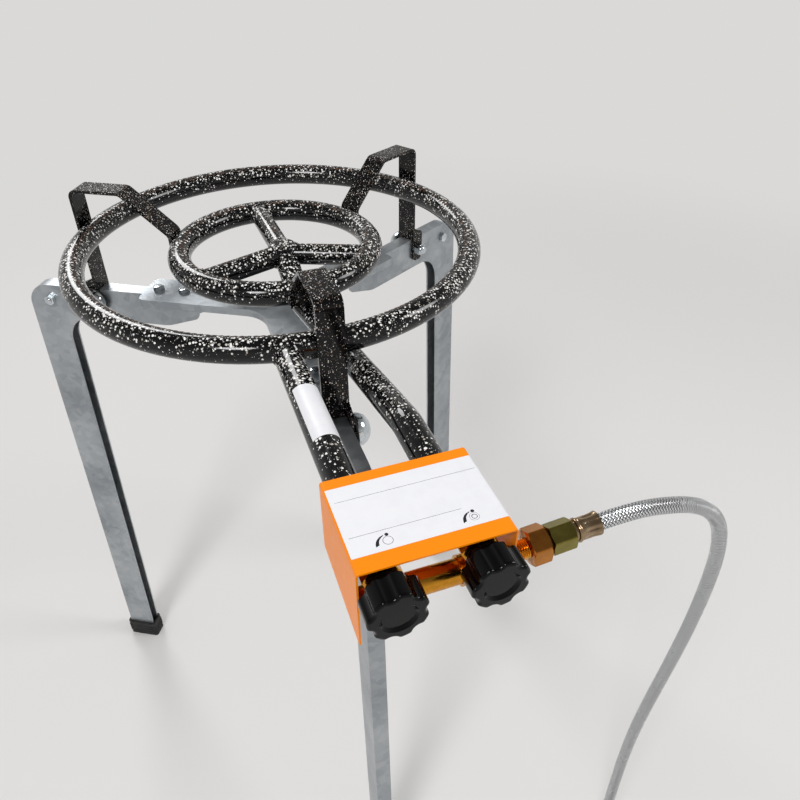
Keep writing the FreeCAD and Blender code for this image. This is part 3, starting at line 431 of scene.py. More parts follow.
def speckledEnamel(name):
    spatter = spatters[name]
    material, add, place = newMaterial(name, enamel["black"], specular=spatter["specular"])
    wobble = add("TexNoise", {"Vector": place, **enamel["wobble"]}, "Color")
    bend = add("VectorMath", (wobble, (enamel["bend"],) * 3), operation="MULTIPLY")
    bent = add("VectorMath", (place, bend), operation="ADD")
    cloud = add("TexNoise", {"Vector": place, **enamel["patch"]})
    cloud = add("MapRange", (cloud, *noiseSpan, *spatter["patches"]))
    # Painted light: faces that look up get more flecks, so tops look lit and undersides shaded
    upward = add("SeparateXYZ", (add("NewGeometry", output="Normal"),), "Z")
    more = add("Math", (upward, spatter["upward"], cloud), operation="MULTIPLY_ADD")
    along = add("SeparateXYZ", (place,), "Y")
    thinner = add("MapRange", (along, *enamel["thinning"]))
    more = add("Math", (more, thinner), operation="ADD")
    masks, tones = [], []
    for spacing, largest in (spatter["large"], spatter["small"]):
        # Each cell holds one round fleck
        distance = add("TexVoronoi", {"Vector": bent, "Scale": perMm(spacing)}, "Distance")
        chances = add("SeparateColor", (distance.node.outputs["Color"],)).node.outputs
        chance = add("Math", (chances[0], more), operation="ADD", use_clamp=True)
        radius = add("MapRange", (chance, enamel["least"], 1, 0, largest / spacing))
        inside = add("Math", (radius, distance), operation="SUBTRACT")
        masks.append(add("Math", (inside, enamel["edge"]), operation="MULTIPLY", use_clamp=True))
        tones.append(chances[1])
    mask = add("Math", masks, operation="MAXIMUM")
    tone = add("MapRange", (tones[0], *spatter["tones"]))
    fleck = add("Mix", {0: tone, 6: spatter["dull"], 7: spatter["bright"]}, 2, data_type="RGBA")
    colour = add("Mix", {0: mask, 6: enamel["black"], 7: fleck}, 2, data_type="RGBA")
    film = add("TexNoise", {"Vector": place, **enamel["film"]})
    film = add("MapRange", (film, *noiseSpan, *enamel["gloss"]))
    spread = add("Math", (mask, enamel["fleckRough"], film), operation="MULTIPLY_ADD")
    peel = add("TexNoise", {"Vector": place, **enamel["peel"]})
    height = add("Math", (mask, enamel["fleckRise"], peel), operation="MULTIPLY_ADD")
    bump = add("Bump", {"Height": height, **enamel["bump"]})
    return patterned(material, colour, spread, bump)


# Galvanised steel: hot-dipped pressed sheet; satin grey with faint large crystals and handling scuffs,
# and a thin chalky bloom that keeps its inner faces from going black
zinc = {
    "pale": "#B4B8BB",
    "dark": "#8E9499",
    "metallic": 0.78,
    "crystals": {"Scale": perMm(8)},
    "crystalTone": 0.22,  # what the crystals add to the cloud
    "cloud": {"Scale": perMm(70), "Detail": 4, "Roughness": 0.55},
    "tones": (0.38, 0.85),  # from dark to pale
    "scuff": {"Scale": perMm(4), "Detail": 8, "Roughness": 0.72},
    "crystalGloss": 0.2,  # and to the scuffs
    "wear": (0.35, 0.85),
    "gloss": (0.28, 0.46),
    "bump": {"Strength": 0.07, "Distance": 0.2 * mm},
}


def galvanisedSteel():
    material, add, place = newMaterial("galvanised_steel", zinc["pale"], zinc["metallic"])
    crystals = add("TexVoronoi", {"Vector": place, **zinc["crystals"]}, "Color")
    grey = add("SeparateColor", (crystals,))
    cloud = add("TexNoise", {"Vector": place, **zinc["cloud"]})
    share = add("Math", (grey, zinc["crystalTone"], cloud), operation="MULTIPLY_ADD")
    share = add("MapRange", (share, *zinc["tones"]))
    colour = add("Mix", {0: share, 6: zinc["dark"], 7: zinc["pale"]}, 2, data_type="RGBA")
    scuff = add("TexNoise", {"Vector": place, **zinc["scuff"]})
    worn = add("Math", (grey, zinc["crystalGloss"], scuff), operation="MULTIPLY_ADD")
    spread = add("MapRange", (worn, *zinc["wear"], *zinc["gloss"]))
    bump = add("Bump", {"Height": worn, **zinc["bump"]})
    return patterned(material, colour, spread, bump)


# Plain metals: one recipe for turned, plated and crimped parts, with fine tool marks and a little tarnish
metals = {
    # Colour, tarnish colour, roughness low and high, mm between marks
    "bright_zinc": ("#DCE1E4", "#B4BBC0", 0.1, 0.2, 0.6),  # barrel polished; near mirror with a faint haze
    "brass": ("#DC9C34", "#B97A24", 0.1, 0.22, 0.5),  # turned bar; warm and bright with dull fingerprints
    "worn_brass": ("#C4823A", "#A0622A", 0.12, 0.24, 0.5),  # handled nut; browner from heat and hands
    "olive_brass": ("#8F8442", "#756B34", 0.14, 0.26, 0.5),  # chromated; olive and darker
    "spring_steel": ("#9A9DA1", "#6D7075", 0.2, 0.34, 0.4),  # drawn wire
    # Painted reflection: the steel sleeve's warm brown stands for the brass beside it that it reflects
    "crimp_steel": ("#AE977A", "#80694F", 0.14, 0.28, 0.5),  # pressed sleeve; warm from the brass beside it
}
tarnish = {
    "cloud": {"Scale": perMm(14), "Detail": 6, "Roughness": 0.65},
    "tones": (0.7, 0.3),  # tarnish lies where the cloud is low
    "marks": 3,  # detail of the tool marks
    "wear": (0.1, 0.4),
    "bump": {"Strength": 0.04, "Distance": 0.06 * mm},
}


def plainMetal(name):
    clean, dull, smooth, rough, spacing = metals[name]
    material, add, place = newMaterial(name, clean, 1.0)
    cloud = add("TexNoise", {"Vector": place, **tarnish["cloud"]})
    marks = add("TexNoise", {"Vector": place, "Scale": perMm(spacing), "Detail": tarnish["marks"]})
    share = add("MapRange", (cloud, *tarnish["tones"]))
    colour = add("Mix", {0: share, 6: clean, 7: dull}, 2, data_type="RGBA")
    worn = add("Math", (cloud, marks), operation="MULTIPLY")
    spread = add("MapRange", (worn, *tarnish["wear"], smooth, rough))
    bump = add("Bump", {"Height": marks, **tarnish["bump"]})
    return patterned(material, colour, spread, bump)


# Orange stove enamel: sprayed and baked on folded sheet; even, semi-gloss, with a fine orange peel
orange = {
    "face": "#FF9002",
    "deep": "#FD8A00",
    "cloud": {"Scale": perMm(30), "Detail": 5},
    "peel": {"Scale": perMm(4)},
    "gloss": (0.3, 0.36),
    "specular": 0.25,
    "bump": {"Strength": 0.03, "Distance": 0.04 * mm},
}


def orangeEnamel():
    material, add, place = newMaterial("orange_enamel", orange["face"], specular=orange["specular"])
    cloud = add("TexNoise", {"Vector": place, **orange["cloud"]})
    colour = add("Mix", {0: cloud, 6: orange["deep"], 7: orange["face"]}, 2, data_type="RGBA")
    peel = add("TexNoise", {"Vector": place, **orange["peel"]})
    spread = add("MapRange", (peel, *noiseSpan, *orange["gloss"]))
    bump = add("Bump", {"Height": peel, **orange["bump"]})
    return patterned(material, colour, spread, bump)


# Moulded blacks, rubber, paper, ink and burnt enamel: one recipe with its own colours, gloss and grain
moulded = {
    # Colour, worn colour, roughness low and high, specular level, mm of grain
    "black_phenolic": ("#030304", "#070709", 0.08, 0.15, 0.2, 2.2),  # knobs, glossy from the mould
    "foot_rubber": ("#1A1A1B", "#3B3A37", 0.6, 0.8, 0.4, 0.7),  # matt, with floor dust in its pores
    "label_paper": ("#EEEEF0", "#E9E9EC", 0.32, 0.44, 0.35, 0.5),  # coated white stock, slightly fibrous
    "label_ink": ("#17181B", "#2C2D31", 0.3, 0.42, 0.5, 0.4),  # printed black, thin at the edges
    "burnt_port": ("#17110E", "#6A4A34", 0.45, 0.7, 0.3, 0.6),  # drilled rims, brown where the flame bites
}
wear = {
    "cloud": {"Scale": perMm(9), "Detail": 6, "Roughness": 0.6},
    "tones": (0.42, 0.75),  # wear shows where the cloud is high
    "bump": {"Strength": 0.1, "Distance": 0.1 * mm},
}


def mouldedFinish(name):
    fresh, worn, smooth, rough, specular, grain = moulded[name]
    material, add, place = newMaterial(name, fresh, specular=specular)
    cloud = add("TexNoise", {"Vector": place, **wear["cloud"]})
    share = add("MapRange", (cloud, *wear["tones"]))
    colour = add("Mix", {0: share, 6: fresh, 7: worn}, 2, data_type="RGBA")
    spread = add("MapRange", (cloud, *noiseSpan, smooth, rough))
    grains = add("TexNoise", {"Vector": place, "Scale": perMm(grain)})
    bump = add("Bump", {"Height": grains, **wear["bump"]})
    return patterned(material, colour, spread, bump)


finishes = {
    "galvanised_steel": galvanisedSteel(),
    "orange_enamel": orangeEnamel(),
    **{name: speckledEnamel(name) for name in spatters},
    **{name: plainMetal(name) for name in metals},
    **{name: mouldedFinish(name) for name in moulded},
}


def dressNodes():
    # Each node takes its slot's finish, and the brackets their own spatter, painted duller for the shade on them
    for name, node in frame["nodes"].items():
        for place in node.material_slots:
            base = place.material.name.split(".")[0]
            if base in finishes:
                place.material = finishes["bracket_enamel" if "bracket" in name else base]
            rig.slot(node, base)


dressNodes()
print("finishes:", len(finishes))


def solidTree(node):
    # Search tree over a solid's faces
    mesh = frame["nodes"][node].data
    points = [vertex.co.copy() for vertex in mesh.vertices]
    return BVHTree.FromPolygons(points, [tuple(polygon.vertices) for polygon in mesh.polygons])


# Hub and spokes inside the inner ring, and the feed tubes, in mm from the rings' axis
hub = {
    "spot": (4, -15, -burner["innerDrop"]),
    "radius": 13,
    "tube": 10,  # radius of a spoke
    "spokes": (90, -30, -150),  # degrees
}
feeds = {"left": -33, "right": 25.5, "drop": -4}


def spokeEnds(angle):
    centre = spotAt(*hub["spot"])
    rim = roundAxis(angle, burner["innerRing"], 0, -burner["innerDrop"])
    return centre, rim, (rim - centre).normalized()


# Weld beads: lumpy runs under the enamel, where the tubes and brackets meet
weld = {
    "radius": 1.5,  # mm
    "around": 8,
    "seed": 7,
    "uneven": 0.28,  # how far the radius swells and thins
    "chance": 0.6,  # the part of it that each point draws
    "stitch": 0.4,  # and the part that follows the stitches
    "ripple": 2.6,  # radians from point to point
    "tip": (0.35, 0.3),  # an open bead's radius at its tips, and what each point inwards adds
    # Round the tubes' ends: where the search starts, and its radius as a share of the tube's
    "spokeSeat": 0.99,
    "outerFeedStart": -225,
    "outerFeedSeat": 0.98,
    "innerFeedStart": (4.9, -44, -15.6),
    "innerFeedSeat": 0.9,
    # Up both edges of each bracket's foot
    "footReach": 104.1,
    "footAside": 11.4,
    "footHeights": (-6.5, -4, -1.5, 1, 3.5, 6),
}
random.seed(weld["seed"])


def beadSkin(path, closed):
    # The bead swells and thins, with a ripple for each stitch of weld
    count = len(path)
    swell = [random.uniform(-1, 1) for _ in range(count)]
    tip, gain = weld["tip"]

    def radiusAt(i):
        taper = 1 if closed else min(1, tip + gain * min(i, count - 1 - i))
        lump = weld["chance"] * swell[i] + weld["stitch"] * math.sin(i * weld["ripple"])
        return weld["radius"] * mm * (1 + weld["uneven"] * lump) * taper

    return tubeMesh(path, radiusAt, weld["around"], closed)


def jointLoop(start, way, radius, tree, steps=36, reach=0.2, seek=0.03):
    # Closed line where a round tube from start meets the tree's solid; where it misses within its reach,
    # the solid's nearest spot to one a little way ahead
    across, up = axesOf(way)
    loop = []
    for i in range(steps):
        angle = 2 * math.pi * i / steps
        spot = start + (across * math.cos(angle) + up * math.sin(angle)) * radius * mm
        hit = tree.ray_cast(spot, way, reach)[0]
        loop.append(hit if hit else tree.find_nearest(spot + way * seek)[0])
    return loop


def makeWelds():
    hubTree, ringTree, outerTree = solidTree("spoke_hub"), solidTree("inner_ring"), solidTree("outer_ring")
    beads = Shape()
    for angle in hub["spokes"]:
        centre, rim, way = spokeEnds(angle)
        middle = (centre + rim) / 2
        for aim, tree in ((-way, hubTree), (way, ringTree)):
            beads.add(*beadSkin(jointLoop(middle, aim, hub["tube"] * weld["spokeSeat"], tree), True))
    start = spotAt(feeds["left"], weld["outerFeedStart"], feeds["drop"])
    loop = jointLoop(start, Vector((0, 1, 0)), burner["tube"] * weld["outerFeedSeat"], outerTree)
    beads.add(*beadSkin(loop, True))
    low = spotAt(*weld["innerFeedStart"])
    aim = (spotAt(*hub["spot"]) - low).normalized()
    beads.add(*beadSkin(jointLoop(low, aim, burner["tube"] * weld["innerFeedSeat"], hubTree), True))
    for angle in sides.values():
        for aside in (-weld["footAside"], weld["footAside"]):
            heights = [height - burner["innerDrop"] for height in weld["footHeights"]]
            beads.add(*beadSkin([roundAxis(angle, weld["footReach"], aside, z) for z in heights], False))
    beads.piece("weld_beads", "speckled_enamel", sharp=0)


makeWelds()
print("welds laid")


# Flame ports: drilled rows along the rings and spokes, each with a small raised burr
ports = {
    "spacing": 5.5,  # mm
    "lean": 22,  # degrees inwards
    "burr": [(2.0, -0.03), (1.6, 0.14), (1.15, 0.02)],  # radius and height of foot, crest and hole
    "around": 10,
    "hubGap": 6,  # from the hub to a spoke's first port
    "bare": 34,  # of a spoke's length, at both ends together
}


def portAt(shape, spot, normal):
    # The last face closes the hole, and the one before it, under the burr, is left out
    points, faces = spun(ports["burr"], spot, normal, ports["around"])
    shape.add(points, faces[:-2] + [faces[-1]])


def makePorts():
    lean = math.radians(ports["lean"])
    for name, radius, drop in (
        ("outer_ring_ports", burner["outerRing"], 0),
        ("inner_ring_ports", burner["innerRing"], burner["innerDrop"]),
    ):
        shape = Shape()
        count = round(2 * math.pi * radius / ports["spacing"])
        for i in range(count):
            out = wayOf(360 * i / count)
            normal = (zAxis * math.cos(lean) - out * math.sin(lean)).normalized()
            portAt(shape, spotAt(0, 0, -drop) + (out * radius + normal * burner["tube"]) * mm, normal)
        shape.piece(name, "speckled_enamel", "burnt_port")
    shape = Shape()
    for angle in hub["spokes"]:
        centre, rim, way = spokeEnds(angle)
        count = int(((rim - centre).length / mm - ports["bare"]) / ports["spacing"])
        for i in range(count + 1):
            spot = centre + way * (hub["radius"] + ports["hubGap"] + i * ports["spacing"]) * mm
            portAt(shape, spot + Vector((0, 0, hub["tube"])) * mm, zAxis)
    shape.piece("spoke_ports", "speckled_enamel", "burnt_port")


makePorts()
print("ports drilled")


# Hexagon bolts and nuts of the stand: chamfered heads and threaded ends, in mm
bolts = {
    "reaches": (108, 136),  # arm bolts, from the rings' axis
    "plate": -64,  # under their heads
    "armGrip": 4,  # what a bolt holds together
    "kneeReach": 262,
    "kneeDrop": -83,
    "kneeGrip": 16,
    "across": 10,
    "head": 4,
    "crown": (0.3, 0.25),  # radius as a share of the width, and rise
    "nut": 5,
    "play": 0.05,  # round the shank
    "shank": 3,  # radius
    "past": 2,  # how far it stands out of the nut
    "tip": (0.7, 0.01),  # radius as a share of the shank's, and rise
    "hidden": 0.3,  # share of the grip, under the head, without a shank
    "pitch": 1.0,
    "thread": 0.5,  # depth
}


def boltSpots():
    for angle in sides.values():
        for reach in bolts["reaches"]:
            yield "arm", roundAxis(angle, reach, 0, bolts["plate"]), zAxis, bolts["armGrip"]
        knee = roundAxis(angle, bolts["kneeReach"], -bolts["kneeGrip"] / 2, bolts["kneeDrop"])
        yield "knee", knee, wayOf(angle - 90), bolts["kneeGrip"]


def makeBolts():
    heads = {"arm": Shape(), "knee": Shape()}
    nuts = {"arm": Shape(), "knee": Shape()}
    across, radius = bolts["across"], bolts["shank"]
    for kind, spot, way, grip in boltSpots():
        crown, rise = bolts["crown"]
        head = hexRings(across, 0, bolts["head"]) + [(across * crown, bolts["head"] + rise)]
        heads[kind].add(*spun(head, spot, way, around=36))
        low = -grip - bolts["nut"]
        end = low - bolts["past"]
        tip, rise = bolts["tip"]
        shank = threadRings(radius, end, -grip * bolts["hidden"], bolts["pitch"], bolts["thread"])
        heads[kind].add(*spun([(radius * tip, end - rise)] + shank, spot, way, around=24))
        bore = radius + bolts["play"]
        nut = hexRings(across, low, -grip) + [(bore, -grip), (bore, low)]
        nuts[kind].add(*spun(nut, spot, way, around=36, loop=True))
    for kind in heads:
        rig.replaces(heads[kind].piece(f"{kind}_hex_bolts", "bright_zinc"), f"{kind}_bolts")
        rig.replaces(nuts[kind].piece(f"{kind}_hex_nuts", "bright_zinc"), f"{kind}_nuts")


makeBolts()


# Dark rubber ring round the foot of each domed screw, which paints the shade under the dome's rim, in mm
dome = {
    "reach": 208,
    "aside": 11.9,
    "drop": -78,
    "radius": 14.7,
    "washer": [  # its section: how far out from the dome's edge, and height
        (-2, -0.25), (0.5, -0.25), (0.9, 0.2), (0.9, 0.9), (0.3, 1.4), (-0.1, 1.4), (-0.1, 0.1), (-2, 0.1),
    ],
}


def makeDomeShadeWashers():
    rings = [(dome["radius"] + out, height) for out, height in dome["washer"]]
    for side, angle in sides.items():
        spot = roundAxis(angle, dome["reach"], dome["aside"], dome["drop"])
        points, faces = spun(rings, spot, wayOf(angle + 90), around=64, loop=True)
        meshPiece(f"{side}_dome_washer", points, faces, "foot_rubber", body=f"{side}_clamp")


makeDomeShadeWashers()


# Moulded ribs round the rubber feet, in mm
feet = {
    "inner": 270.6,  # from the rings' axis
    "outer": 315.1,
    "half": 11.3,  # of their width
    "corner": 4,
    "cornerSteps": 6,
    "heights": (8, 13.5, 19),  # over the floor
    "rib": 0.8,  # radius
}


def makeFootRibs():
    middle = (feet["inner"] + feet["outer"]) / 2
    long = (feet["outer"] - feet["inner"]) / 2
    corner, steps = feet["corner"], feet["cornerSteps"]
    for side, angle in sides.items():
        ribs = Shape()
        for height in feet["heights"]:
            loop = []
            for cx, cy, first in ((1, 1, 0), (-1, 1, 90), (-1, -1, 180), (1, -1, 270)):
                for step in range(steps + 1):
                    turn = math.radians(first + step * 90 / steps)
                    x = middle + cx * (long - corner) + corner * math.cos(turn)
                    y = cy * (feet["half"] - corner) + corner * math.sin(turn)
                    loop.append(roundAxis(angle, x, y, height - burner["height"]))
            ribs.add(*tubeMesh(loop, lambda step: feet["rib"] * mm, around=8, closed=True))
        ribs.piece(f"{side}_foot_ribs", "foot_rubber")


makeFootRibs()
print("fasteners and feet dressed")


# Inlet along one axis, in mm: chamfered nuts, a threaded stub and the crimped ferrule. A span is a
# piece's start and end along the axis.
inlet = {
    "ball": (33, -409, -30),
    "way": (0.99619, 0, 0.08716),
    "stub": {
        "span": (7.6, 39),
        "radius": 6.6,
        "neck": 6.4,
        "bore": 4,
        "thread": 15,  # where it starts
        "pitch": 1.5,
        "depth": 0.8,
        "tip": 5.6,
        "taper": 1,
    },
    "union": {
        "span": (29, 41.5),
        "across": 22,
        "face": 0.97,
        "slope": 0.55,
        "play": 0.05,  # round the stub
        "lip": 1.2,
    },
    "adapter": {
        "span": (41.5, 60),
        "across": 18,
        "bore": 4,
        "collar": (7.2, 1.6),  # radius and length
        "step": 1.8,  # to the hexagon's start
        "tail": (6.6, 0.4),  # radius of its end face, and how far the hexagon stops short
    },
    "ferrule": 60,
}
inletWay = Vector(inlet["way"]).normalized()
inletStart = spotAt(*inlet["ball"])


def turned(name, node, rings, centre, way, slot, finish=None, around=120):
    # A piece turned about an axis, which stands for a node
    points, faces = spun(rings, centre, way, around, loop=True)
    piece = meshPiece(name, points, faces, slot, finish)
    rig.replaces(piece, node)
    return piece


def makeInlet():
    stub, union, adapter = inlet["stub"], inlet["union"], inlet["adapter"]
    low, high = union["span"]
    bore = stub["radius"] + union["play"]
    rings = [(bore, high), (bore, low), (bore + union["lip"], low)]
    rings += hexRings(union["across"], low, high, union["face"], union["slope"])
    turned("union_hex_nut", "union_nut", rings, inletStart, inletWay, "brass", "worn_brass")

    low, high = adapter["span"]
    collar, collarLong = adapter["collar"]
    tail, short = adapter["tail"]
    rings = [(adapter["bore"], high), (adapter["bore"], low), (collar, low), (collar, low + collarLong)]
    rings += hexRings(adapter["across"], low + adapter["step"], high - short) + [(tail, high)]
    turned("adapter_hex", "hose_adapter", rings, inletStart, inletWay, "olive_brass")

    low, high = stub["span"]
    rings = [(stub["bore"], high), (stub["bore"], low), (stub["neck"], low), (stub["neck"], stub["thread"])]
    rings += threadRings(stub["radius"], stub["thread"], high - stub["taper"], stub["pitch"], stub["depth"])
    rings.append((stub["tip"], high))
    turned("threaded_stub", "inlet_stub", rings, inletStart, inletWay, "brass", around=48)


makeInlet()


# Gland nuts behind the knobs, in mm
gland = {
    "reach": 412,
    "long": 7.4,
    "across": 21,
    "face": 0.94,
    "bore": 3.3,  # radius round the spindle
    "seat": (8, 5),  # radius and depth round the tap's body
}


def makeGlandNuts():
    bore, long = gland["bore"], gland["long"]
    seat, deep = gland["seat"]
    for side in ("left", "right"):
        centre = spotAt(feeds[side], -gland["reach"], feeds["drop"])
        rings = [(bore, long), (bore, deep), (seat, deep), (seat, 0)]
        rings += hexRings(gland["across"], 0, long, gland["face"])
        turned(f"{side}_gland_hex", f"{side}_gland_nut", rings, centre, Vector((0, -1, 0)), "brass")


makeGlandNuts()
print("inlet and glands dressed")


# Ferrule: a rolled collar, then a sleeve crimped in flutes onto the braid. Rings are radius and height in mm.
crimp = {
    "long": 18,
    "foot": [(4.2, 0.1), (6.3, 0.1), (6.4, 1.9), (7.1, 2.0)],
    "collar": (7.0, 3.1),  # middle of its rolled edge
    "collarHigh": 1.1,
    "collarTurn": (-60, 25, 7),  # degrees at the first point and between points, and their number
    "sleeve": [  # height, and how deep the flutes are
        (4.9, 0), (6.2, 0.1), (7.6, 0.6), (8.8, 1), (11, 1), (13.4, 1), (15, 1), (16.2, 0.6), (17, 0.3),
    ],
    "flutes": 9,
    "deep": 0.8,
    "waist": 7.3,
    "mouth": 7.8,
    "flare": (13, 4),  # where it widens from waist to mouth, and over what length
    "lip": [(7.8, 17.7), (7.3, 18), (5.4, 18), (5.4, 16)],
}


def makeFerrule(name, node, centre, way):
    def fluted(radius, share):
        def at(angle):
            return radius - crimp["deep"] * share * (0.5 + 0.5 * math.cos(angle * crimp["flutes"])) ** 2
        return at

    rings = list(crimp["foot"])
    radius, height = crimp["collar"]
    first, turn, count = crimp["collarTurn"]
    for step in range(count):
        angle = math.radians(first + step * turn)
        rings.append((radius + math.cos(angle), height + crimp["collarHigh"] * math.sin(angle)))
    start, long = crimp["flare"]
    for height, share in crimp["sleeve"]:
        radius = blend(crimp["waist"], crimp["mouth"], max(0, height - start) / long)
        rings.append((fluted(radius, share), height))
    return turned(name, node, rings + crimp["lip"], centre, way, "crimp_steel", around=80)


# Paper labels: white stock on the hood's top, which follows the fold at each side, and a bare one wrapped
# over the outer feed tube, in mm
label = {
    "columns": (-48.8, -48.4, -48, -20, 0, 20, 41.5, 42, 42.4, 42.8, 43.2),  # X of its points
    "rows": (-362, -380, -398, -415.6),  # Y of its points, from the back
    "top": 14,  # the hood's top
    "fold": 2,  # radius of the hood's folds, and where they start
    "foldLeft": -48,
    "foldRight": 41.5,
}
wrap = {"turn": (-50, 62), "steps": 24, "rows": (-246, -305)}  # degrees from the tube's top, and Y
paper = (0.14, 0.01)  # heights of its upper and under side


def paperPiece(name, columns, rows, spotOn, slot):
    # A sheet with its thickness: spotOn(column, row, height) gives its points
    points = [spotOn(c, r, height) for height in paper for r in rows for c in columns]
    wide, tall = len(columns), len(rows)
    lower = wide * tall
    faces = []
    for r in range(tall - 1):
        for c in range(wide - 1):
            a = r * wide + c
            b = a + lower
            faces += [(a, a + wide, a + wide + 1, a + 1), (b, b + 1, b + wide + 1, b + wide)]
    # The four edges in turn: back, right, front and left
    edge = [*range(wide), *range(2 * wide - 1, lower, wide)]
    edge += [*range(lower - 2, lower - wide - 1, -1), *range(lower - 2 * wide, 0, -wide)]
    faces += [(a, b, b + lower, a + lower) for a, b in zip(edge, edge[1:] + edge[:1])]
    meshPiece(name, points, faces, slot, "label_paper")


def onHood(x, y, height):
    over = max(label["foldLeft"] - x, x - label["foldRight"], 0)
    drop = label["fold"] - math.sqrt(max(label["fold"] ** 2 - over ** 2, 0))
    return spotAt(x, y, label["top"] - drop + height)


def onTube(turn, y, height):
    radius, angle = burner["tube"] + height, math.radians(turn)
    return spotAt(feeds["left"] + radius * math.sin(angle), y, feeds["drop"] + radius * math.cos(angle))



# Plain tap symbols and two thin lines printed on the hood's label, in mm
marks = {
    "degrees": (10, 20),  # from point to point, on a circle and round a dot
    # Middle of each symbol, and the radii and lines of its circles
    "symbols": [
        ((-26.4, -409.4), ((2.95, 0.24),)),
        ((24.5, -409.4), ((2.95, 0.14), (1.75, 0.36))),
    ],
    "dot": (0.5, 4.2, 1.1),  # place and radius
    "tail": {  # a curved wedge, from its thick end to its thin one
        "steps": 16,
        "half": (1.15, 0.15),
        "turn": (200, 106),  # degrees
        "radius": 4.3,  # at the thin end
        "spread": (2.6, 1.8),  # what the thick one adds, and the power it grows by
    },
    "lines": [(-373.5, -46, 41), (-401.5, -46, 20)],  # Y, and X from and to
    "lineHalf": 0.1,
    "lift": 0.02,  # over the paper
}


def flatBand(shape, centre, spots):
    # Thin printed band between pairs of points
    z = label["top"] + paper[0] + marks["lift"]
    points = [spotAt(centre[0] + x, centre[1] + y, z) for pair in spots for x, y in pair]
    faces = [(2 * i, 2 * i + 1, 2 * i + 3, 2 * i + 2) for i in range(len(spots) - 1)]
    shape.add(points, faces)


def onCircle(radius, degrees):
    return radius * math.cos(math.radians(degrees)), radius * math.sin(math.radians(degrees))


def makeMarks():
    shape = Shape()
    dotX, dotY, dotRadius = marks["dot"]
    fine, coarse = marks["degrees"]
    tail = marks["tail"]
    for centre, circles in marks["symbols"]:
        for radius, line in circles:
            circle = [(onCircle(radius - line, a), onCircle(radius, a)) for a in range(0, 361, fine)]
            flatBand(shape, centre, circle)
        disc = [((0, 0), onCircle(dotRadius, a)) for a in range(0, 361, coarse)]
        flatBand(shape, (centre[0] + dotX, centre[1] + dotY), disc)
        wedge = []
        for i in range(tail["steps"] + 1):
            share = i / tail["steps"]
            half = blend(*tail["half"], share)
            angle = blend(*tail["turn"], share)
            more, power = tail["spread"]
            radius = tail["radius"] + more * (1 - share) ** power
            wedge.append((onCircle(radius - half, angle), onCircle(radius + half, angle)))
        flatBand(shape, centre, wedge)
    half = marks["lineHalf"]
    for y, start, end in marks["lines"]:
        flatBand(shape, (0, y), [((start, -half), (start, half)), ((end, -half), (end, half))])
    shape.piece("tap_symbols", "orange_enamel", "label_ink")


turns = [blend(*wrap["turn"], i / wrap["steps"]) for i in range(wrap["steps"] + 1)]
paperPiece("hood_label", label["columns"], label["rows"], onHood, "orange_enamel")
makeMarks()
paperPiece("tube_label", turns, wrap["rows"], onTube, "speckled_enamel")
print("labels placed")


# Braided hose, in metres: its route on one smooth line, then the braided skin round it
hose = {
    "across": 0.011,
    "length": 1.564,
    "start": (0.1107, -0.286, 0.6768),
    "route": [
        (0.13063, -0.286, 0.67854), (0.16, -0.285, 0.674), (0.196, -0.283, 0.66), (0.224, -0.279, 0.631),
        (0.241, -0.275, 0.588), (0.249, -0.271, 0.534), (0.252, -0.2675, 0.474), (0.251, -0.264, 0.412),
        (0.2485, -0.2605, 0.35), (0.2475, -0.2575, 0.292), (0.249, -0.2555, 0.234), (0.251, -0.255, 0.178),
        (0.2523, -0.2556, 0.132), (0.2529, -0.2566, 0.094),
    ],
    "landing": 0.075,  # radius of the turn onto the floor
    "landingPoints": (15, 45, 75),  # degrees from level
    "coilCentre": (0.19, -0.363),
    "coilInner": 0.05,
    "coilStep": 0.0117,
    "coilLayer": 0.0116,
    "coilTurns": 2,
    "climb": (0.75, 0.5),  # turns before the climb to the upper layer, and that it takes
    "pointsPerTurn": 16,
    "tail": 0.03,
    "around": 24,
    "ring": 0.003,  # from ring to ring
}


def coilSpot(turns):
    # In on the floor, then out again one layer up
    radius = hose["coilInner"] + hose["coilStep"] * abs(1 - turns)
    start, long = hose["climb"]
    climb = min(max((turns - start) / long, 0), 1)
    height = hose["across"] / 2 + hose["coilLayer"] * climb * climb * (3 - 2 * climb)
    angle = -2 * math.pi * turns
    middle = hose["coilCentre"]
    return Vector((middle[0] + radius * math.cos(angle), middle[1] + radius * math.sin(angle), height))


def coilWay(turns, step=0.002):
    return (coilSpot(turns + step) - coilSpot(turns - step)).normalized()


def hoseControl():
    points = [Vector(hose["start"])] + [Vector(spot) for spot in hose["route"]]
    back = -coilWay(0)
    entry = coilSpot(0) + back * hose["across"]
    landing = hose["landing"]
    half = math.radians(hose["landingPoints"][0])  # of the turn at each landing point
    corner = landing / math.cos(half)
    runIn = landing * math.tan(half)
    for degrees in hose["landingPoints"]:
        angle = math.radians(degrees)
        rise = Vector((0, 0, landing - corner * math.sin(angle)))
        points.append(entry + back * (runIn + corner * math.cos(angle)) + rise)
    points.append(entry)
    turns = hose["coilTurns"]
    steps = turns * hose["pointsPerTurn"]
    points += [coilSpot(i / hose["pointsPerTurn"]) for i in range(steps + 1)]
    points.append(coilSpot(turns) + coilWay(turns) * hose["tail"])
    return points


def smoothLine(points, resolution=24):
    # Points along a NURBS line
    curve = bpy.data.curves.new("hose_line", "CURVE")
    curve.dimensions = "3D"
    curve.resolution_u = resolution
    spline = curve.splines.new("NURBS")
    spline.points.add(len(points) - 1)
    for point, spot in zip(spline.points, points):
        point.co = (*spot, 1)
    spline.order_u = 3
    spline.use_endpoint_u = True
    item = newObject("hose_line", curve)
    bpy.context.view_layer.update()
    line = bpy.data.meshes.new_from_object(item.evaluated_get(bpy.context.evaluated_depsgraph_get()))
    spots = [vertex.co.copy() for vertex in line.vertices]
    bpy.data.objects.remove(item)
    return spots


